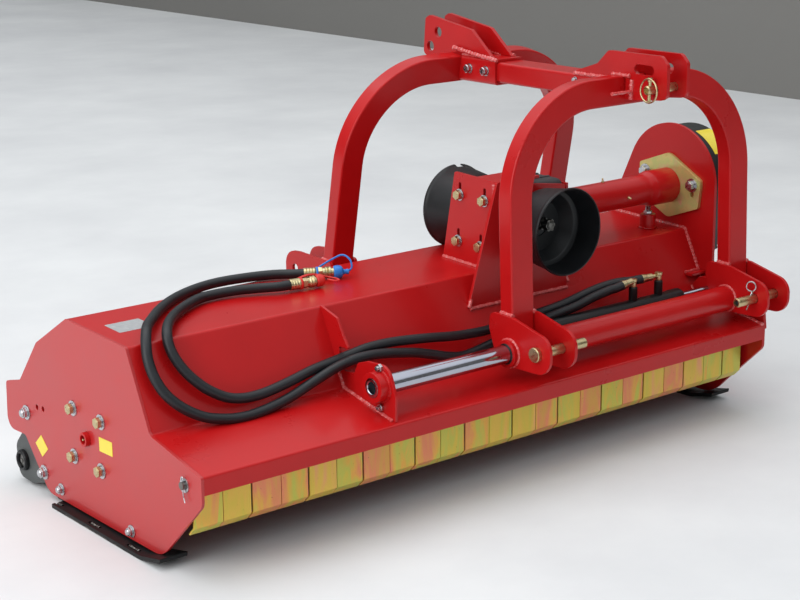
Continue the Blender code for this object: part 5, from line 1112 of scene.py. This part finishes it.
def shift_cylinder():
    """Barrel with caps and ports on the headstock; chromed rod and its lug on the hood."""
    y, z = 0.185, 0.358
    barrel = turned([(0, 0), (0.030, 0), (0.030, 0.022), (0.0285, 0.024), (0.0285, 0.507), (0.030, 0.510),
                     (0.030, 0.550), (0.0155, 0.550), (0.0155, 0.530), (0, 0.530)],
                    (0.262, y, z), (0.825, y, z), 56, 0.0008)
    posts, heads, crimps = [], [], []
    for (px, py, top), start, end in FERRULES.values():
        foot, way = (px, py, top), (px, py, top + 1)
        deep = z + 0.025 - top
        posts.append(turned([(0, deep), (0.0128, deep), (0.0128, -0.0270), (0.0110, -0.0245), (0, -0.0245)],
                            foot, way, 32))
        heads.append(repeated(hexagon(0.0215, 0.0080, -0.0080), [along(foot, way)]))
        heads.append(turned([(0, -0.0245), (0.0088, -0.0245), (0.0096, -0.0225), (0.0096, -0.0105),
                             (0.0088, -0.0080), (0, -0.0080)], foot, way, 32))
        length = math.dist(start, end)
        crimps.append(turned([(0, 0), (0.0062, 0), (0.0062, length - 0.040), (0.0100, length - 0.038),
                              (0.0108, length - 0.036), (0.0108, length - 0.020), (0.0118, length - 0.016),
                              (0.0140, length - 0.002), (0.0138, length), (0, length)], start, end, 36))
    done(joined([barrel, *posts]), "shift_cylinder_barrel", "black", "headstock", "cylinder_barrel")
    done(joined([*heads, *crimps]), "port_fittings", "yellow", "headstock")
    piston = bar((0.378, y, z), (0.403, y, z), 0.0248, 40, 0.001)
    rod = joined([piston, bar((0.40, y, z), (0.9397, y, z), 0.015, 48, 0.0006),
                  bar((0.934, y, z), (0.966, y, z), 0.010, 28, 0.0008)])
    done(rod, "shift_cylinder_rod", "chrome", "mulcher", "cylinder_rod")
    nuts("cylinder_rod_nut", "mulcher", [(0.952, y, z)], (1, 0, 0), 0.024)
    lug = side_plate(rounded([(0.159, 0.3095, 0.0), (0.159, 0.398, 0.030), (0.216, 0.398, 0.030),
                              (0.2465, 0.3640, 0.0),
                              (0.2262, 0.3240, 0.0)]), 0.940, 0.952, [circle((y, z), 0.0104)])
    shelf = block((0.926, 0.236, 0.3940), (0.989, 0.268, 0.4030), 0.002)
    done(joined([lug, shelf]), "rod_lug", "red", "mulcher", "cylinder_lug")
    seams = [weld([(0.9395, 0.159, 0.3105), (0.9395, 0.226, 0.324), (0.9395, 0.246, 0.364)], 0.0042),
             weld([(0.926, 0.262, 0.4040), (0.988, 0.262, 0.4040)], 0.0045)]
    done(joined(seams), "rod_lug_welds", "bead", "mulcher")


# The drive line

def gearbox_bracket():
    """Two slotted plates, the flared front panel and the top plate, with their bolts and welds."""
    spots = [(0.4412, 0.7225), (0.3365, 0.7205), (0.4487, 0.5875), (0.3523, 0.5855)]
    slots = [slot((y, z + 0.012), 0.048, 0.011, upright=True) for y, z in spots]
    plates = []
    for left, rear_top, front_top, holes in ((0.1697, 0.786, 0.780, slots), (0.4423, 0.744, 0.742, slots[2:])):
        outline = rounded([(0.5170, 0.5287, 0.0), (0.465, rear_top, 0.006), (0.2915, front_top, 0.0),
                           (0.2915, 0.4558, 0.0), (0.3240, 0.5228, 0.0)])
        plates.append(side_plate(outline, left, left + 0.008, holes, 0.0012, 3))
    outline = rounded([(0.066, 0.4400, 0.0), (0.1697, 0.780, 0.004), (0.4300, 0.742, 0.004),
                       (0.4420, 0.4400, 0.0)])
    panel = cross_plate(outline, 0.283, 0.293, [circle(INPUT, 0.0606, 48)], 0.0012, 3)
    top = block((0.1757, 0.284, 0.7725), (0.3300, 0.388, 0.7800))
    lines = [[(x, 0.330, 0.5245), (x, 0.514, 0.5300)] for x in (0.1690, 0.4510)]
    lines += [[(x, 0.288, 0.450), (x, 0.326, 0.5245)] for x in (0.1690, 0.4510)]
    lines.append([(0.068, 0.2815, 0.4370), (0.440, 0.2815, 0.4370)])
    lines.append([(0.066, 0.2815, 0.4410), (0.074, 0.2815, 0.4640)])
    lines.append([(0.1680, 0.294, 0.774), (0.1680, 0.294, 0.470)])
    done(joined([*plates, panel, top]), "gearbox_stand", "red", "mulcher", "gearbox_bracket")
    done(joined(weld(line, 0.0055) for line in lines), "gearbox_stand_welds", "bead", "mulcher")
    bolts("gearbox_bolts_left", "mulcher", [(0.1697, *spot) for spot in spots], (-1, 0, 0), 0.025)
    bolts("gearbox_bolts_right", "mulcher", [(0.4503, *spot) for spot in spots[1:]], (1, 0, 0), 0.019)


def on_input(y):
    """The point on the input shaft's axis at this y."""
    return INPUT[0], y, INPUT[1]


def gearbox():
    """The cast body with its bosses, ribs, cover bolts and drain plug."""
    body = block((0.178, 0.295, 0.545), (0.442, 0.490, 0.757), 0.022, 5)
    bosses = turned([(0.0210, 0), (0.056, 0), (0.060, 0.006), (0.060, 0.235), (0.056, 0.241), (0.0210, 0.241)],
                    on_input(0.264), on_input(0.505), 56, 0.001)
    ribs = [block((0.195, y - 0.005, 0.754), (0.425, y + 0.005, 0.760), 0.002) for y in (0.345, 0.392, 0.440)]
    done(joined([body, bosses, *ribs]), "gearbox_casting", "cast", "mulcher", "gearbox")
    spots = [polar(INPUT, 0.082, angle) for angle in range(30, 360, 60)]
    bolts("gearbox_cover_bolts", "mulcher", [(x, 0.490, z) for x, z in spots], (0, 1, 0), 0.013)
    bolts("gearbox_drain_plug", "mulcher", [(0.225, 0.490, 0.580)], (0, 1, 0), 0.019)


def input_shaft():
    """Six wide splines with a locking groove and a centre hole in each end."""
    outer, inner = 0.0175, 0.0148
    tooth = [(-17, inner), (-13, outer), (-6.5, outer), (0, outer), (6.5, outer), (13, outer), (17, inner),
             (23, inner), (30, inner), (37, inner)]
    points = [polar(INPUT, radius, turn + offset) for turn in range(0, 360, 60) for offset, radius in tooth]
    lengths = [(0.215, 0.233), (0.240, 0.262), (0.507, 0.550), (0.557, 0.575)]
    runs = [cross_plate(points, near, far, edge=0.0006) for near, far in lengths]
    core = turned([(0, 0.008), (0.0062, 0.008), (0.0068, 0), (inner, 0), (inner, 0.048), (0.020, 0.053),
                   (0.020, 0.286), (inner, 0.291), (inner, 0.360), (0.0040, 0.360), (0, 0.356)],
                  on_input(0.215), on_input(0.575), 36)
    done(joined([*runs, core]), "splined_shaft", "steel", "input", "input_shaft")


def guards():
    """Moulded cones over the shaft ends, with a rolled mouth and a stepped back."""
    for name, back, way in (("front", 0.2637, -1), ("rear", 0.5053, 1)):
        cone = turned([
            (0.030, 0), (0.092, 0), (0.100, 0.002), (0.105, 0.008), (0.1085, 0.020), (0.1200, 0.106),
            (0.1235, 0.113), (0.1245, 0.118), (0.1235, 0.122), (0.1215, 0.124), (0.1195, 0.122),
            (0.1185, 0.116), (0.1110, 0.048), (0.1085, 0.0445), (0.0990, 0.042), (0.0955, 0.0385),
            (0.0760, 0.012), (0.0720, 0.006), (0.030, 0.004),
        ], (GUARD[0], back, GUARD[1]), (GUARD[0], back + way, GUARD[1]), 72)
        if name == "rear":
            # A small notch in the rim
            notch = block((GUARD[0] - 0.006, back + 0.100, GUARD[1] + 0.080),
                          (GUARD[0] + 0.022, back + 0.140, GUARD[1] + 0.140), 0.003)
            shaped(cone, "BOOLEAN", object=notch, operation="DIFFERENCE", solver="EXACT")
            bpy.data.objects.remove(notch)
        done(cone, f"{name}_guard", "plastic", "mulcher", f"input_guard_{name}")


def output_drive():
    """Tapered housing, its flange and bolts, grease fittings and the belt tension jack."""
    housing = turned([
        (0.030, 0.0), (0.052, 0.0), (0.054, 0.002), (0.054, 0.014), (0.0435, 0.019), (0.0435, 0.060),
        (0.0450, 0.120), (0.0455, 0.408), (0.0475, 0.418), (0.0520, 0.430), (0.0545, 0.438), (0.0545, 0.526),
        (0.030, 0.526),
    ], (0.4513, *DRIVE), (0.9773, *DRIVE), 64, 0.0006)
    done(housing, "output_shaft_housing", "red", "mulcher", "output_housing")
    outline = [(0.513, 0.7075, 0.008), (0.393, 0.752, 0.030), (0.258, 0.680, 0.012), (0.268, 0.593, 0.010),
               (0.390, 0.548, 0.030), (0.515, 0.609, 0.012)]
    slots = [slot(spot, 0.050, 0.013, upright=True) for spot in ((0.4873, 0.669), (0.2922, 0.650))]
    flange = side_plate(rounded(outline), 0.9777, RIGHT_INNER, [circle(DRIVE, 0.030), *slots], 0.0012, 3)
    done(flange, "output_flange", "plate_zinc", "mulcher", "housing_flange")
    bolts("output_flange_bolts", "mulcher", [(0.9777, 0.4873, 0.6827), (0.9777, 0.2922, 0.6632)], (-1, 0, 0),
          0.026, "bright", 0.0215)
    grease_fitting("housing_grease_top", "mulcher", (0.694, 0.394, 0.6945), (0, 0.1, 1))
    grease_fitting("housing_grease_front", "mulcher", (0.758, 0.3490, 0.646), (0, -1, -0.1))
    jack, foot, head = (0.900, 0.400), 0.5258, 0.569
    stub = joined([bar((*jack, foot), (*jack, head), 0.0245, 48, 0.0014),
                   weld([(*polar(jack, 0.0250, angle), foot + 0.001) for angle in range(0, 361, 15)], 0.0036)])
    done(stub, "tension_jack_stub", "red", "mulcher", "belt_tension_jack")
    screw = joined([thread(0.0085, 0.560, 0.5935), hexagon(0.024, 0.009, head)])
    done(repeated(screw, [Matrix.Translation((*jack, 0))]), "tension_jack_screw", "bright", "mulcher")


def belt_line(upper, lower, steps=24):
    """The line round both pulley centres at these radii."""
    high, low = Vector(DRIVE), Vector(ROTOR)
    line = high - low
    middle = math.atan2(line.y, line.x)
    lean = math.acos((lower - upper) / line.length)
    points = []
    for centre, radius, first, last in ((high, upper, middle - lean, middle + lean),
                                        (low, lower, middle + lean, middle + math.tau - lean)):
        for step in range(steps + 1):
            angle = first + (last - first) * step / steps
            points.append((centre.x + radius * math.cos(angle), centre.y + radius * math.sin(angle)))
    return points


def belt_drive():
    """Grooved pulleys, the banded belt and the moulded cover over them."""
    for name, spot, radius, body, node, extra in (
        ("upper", DRIVE, 0.130, "drive", "drive_shaft",
         [bar((0.4516, *DRIVE), (1.082, *DRIVE), 0.0225, 40, 0.001)]),
        ("lower", ROTOR, 0.110, "rotor", "rotor_pulley", []),
    ):
        hole = 0.0 if extra else 0.0254
        wheel = turned([(hole, 0), (radius, 0), (radius, 0.004), (radius - 0.0015, 0.0045),
                        (radius - 0.0015, 0.0615), (radius, 0.062), (radius, 0.066), (radius - 0.014, 0.066),
                        (radius - 0.016, 0.020), (0.046, 0.018), (0.042, 0.022), (0.042, 0.066), (hole, 0.066)],
                       (1.010, *spot), (1.076, *spot), 64, 0.0006)
        done(joined([wheel, *extra]), f"{name}_pulley", "steel", body, node)
    ribs = [side_plate(belt_line(0.1418, 0.1218), left, left + 0.0135, [belt_line(0.1305, 0.1105)], 0.0012)
            for left in (1.0140, 1.0285, 1.0430, 1.0575)]
    band = side_plate(belt_line(0.1405, 0.1205), 1.0145, 1.0715, [belt_line(0.1375, 0.1175)], 0.0006)
    done(joined([*ribs, band]), "banded_belt", "belt", "mulcher", "drive_belt")

    line = belt_line(0.181, 0.130, 40)
    mesh = bpy.data.meshes.new("cover")
    count = len(line)
    rim = [(i, (i + 1) % count, count + (i + 1) % count, count + i) for i in range(count)]
    mesh.from_pydata([(x, y, z) for x in (1.0003, 1.105) for y, z in line], [],
                     [*rim, tuple(range(count, 2 * count))])
    cover = only(linked(mesh))
    bpy.ops.object.mode_set(mode="EDIT")
    bpy.ops.mesh.select_all(action="SELECT")
    bpy.ops.mesh.normals_make_consistent(inside=False)
    bpy.ops.object.mode_set(mode="OBJECT")
    eased(cover, 0.010, 5, least=60)
    shaped(cover, "SOLIDIFY", thickness=0.003, offset=-1, use_even_offset=True)
    done(cover, "drive_cover", "black", "mulcher", "belt_cover")
    # A plain patch of reflective sheet on the rim, in front of the top
    arc = range(110, 146, 3)
    patch = side_plate([polar(DRIVE, radius, angle) for radius, turns in ((0.1816, arc), (0.1810, arc[::-1]))
                        for angle in turns], 1.030, 1.096, edge=0.0001, segments=1)
    done(patch, "cover_rim_patch", "reflector", "mulcher")
    spots = [(1.1046, 0.394, 0.790), (1.1046, 0.545, 0.130), (1.1046, 0.300, 0.450), (1.1046, 0.620, 0.430)]
    rings = repeated(washer(0.004, 0.008, 0.0004), facing(spots, (1, 0, 0)))
    done(rings, "cover_screw_washers", "bright", "mulcher")


def hood_plate():
    """A blank rating plate on the hood's top."""
    slope = math.atan((0.5318 - 0.5226) / (0.624 - 0.325))
    place = Matrix.Translation((-0.8995, 0.4760, 0.5277)) @ Matrix.Rotation(slope, 4, "X")
    corners = rounded([(-0.0495, -0.039, 0.003), (0.0495, -0.039, 0.003), (0.0495, 0.039, 0.003),
                       (-0.0495, 0.039, 0.003)])
    done(plate(corners, 0.0008, place, edge=0.0002, segments=1), "blank_plate", "plate", "mulcher")


hood()
side_plates()
side_plate_fasteners()
bearing_housings()
skids()
rear_roller()
flaps()
rotor()
slide_rods()
carriages()
headstock()
hitch_pins()
hoses(couplers())
shift_cylinder()
gearbox_bracket()
gearbox()
input_shaft()
guards()
output_drive()
belt_drive()
hood_plate()


# Floor, wall and light

def stage():
    """Concrete, a plain wall, soft light from the left and from overhead, and the sky."""
    # Pale fine concrete: matt, without a shine
    floor = finish("pale_concrete", [(0.30, "#d6d7d8"), (0.70, "#e4e5e5")], 900, (0.70, 0.85), 6, 0.15,
                   Specular_IOR_Level=0.05)
    bpy.ops.mesh.primitive_plane_add(size=60, location=(0, 0, 0))
    ground = bpy.context.object
    ground.name = "floor"
    ground.data.materials.append(floor)
    # Grey wall paint: matt and even
    grey = finish("plain_wall", [(0.30, "#817f7b"), (0.70, "#878581")], 1200, (0.8, 0.9), 20, 0.1)
    bpy.ops.mesh.primitive_plane_add(size=1, location=(6.0, 4, 2.4), rotation=(math.pi / 2, 0, math.pi / 2))
    # From outside, the wall lets the view through
    output = grey.node_tree.nodes["Material Output"]
    clear = add(grey, "BsdfTransparent").outputs["BSDF"]
    solid = grey.node_tree.nodes["Principled BSDF"].outputs["BSDF"]
    seen = add(grey, "MixShader", links={0: add(grey, "NewGeometry").outputs["Backfacing"], 1: clear, 2: solid})
    grey.node_tree.links.new(seen.outputs["Shader"], output.inputs["Surface"])
    wall = bpy.context.object
    wall.name = "wall"
    wall.scale = (60, 5.2, 1)
    wall.data.materials.append(grey)
    world = bpy.data.worlds.new("sky")
    bpy.context.scene.world = world
    world.use_nodes = True
    # Bright above, grey at the horizon, so that level sheet metal mirrors grey
    height = add(world, "SeparateXYZ", links={"Vector": add(world, "TexCoord").outputs["Generated"]})
    tone = add(world, "ValToRGB", links={"Fac": height.outputs["Z"]}, stops=[
        (0.0, "#6a6b6c"), (0.30, "#7c7e80"), (0.62, "#e8ecf0"), (1.0, "#f2f5f8")])
    sky = world.node_tree.nodes["Background"]
    world.node_tree.links.new(tone.outputs["Color"], sky.inputs["Color"])
    sky.inputs["Strength"].default_value = 1.15
    for name, place, size, power, aim in (
        ("left_soft_light", (-6.0, -0.5, 3.0), 4.5, 190, (0, 0, 0.3)),
        ("overhead_soft_light", (-1.5, 1.5, 10.0), 9.0, 340, (0, 0, 0.3)),
    ):
        lamp = bpy.data.lights.new(name, "AREA")
        lamp.size = size
        lamp.energy = power
        holder = linked(lamp)
        holder.location = place
        holder.rotation_mode = "QUATERNION"
        holder.rotation_quaternion = (Vector(aim) - Vector(place)).to_track_quat("-Z", "Y")


stage()
bpy.context.scene.view_settings.view_transform = "Standard"
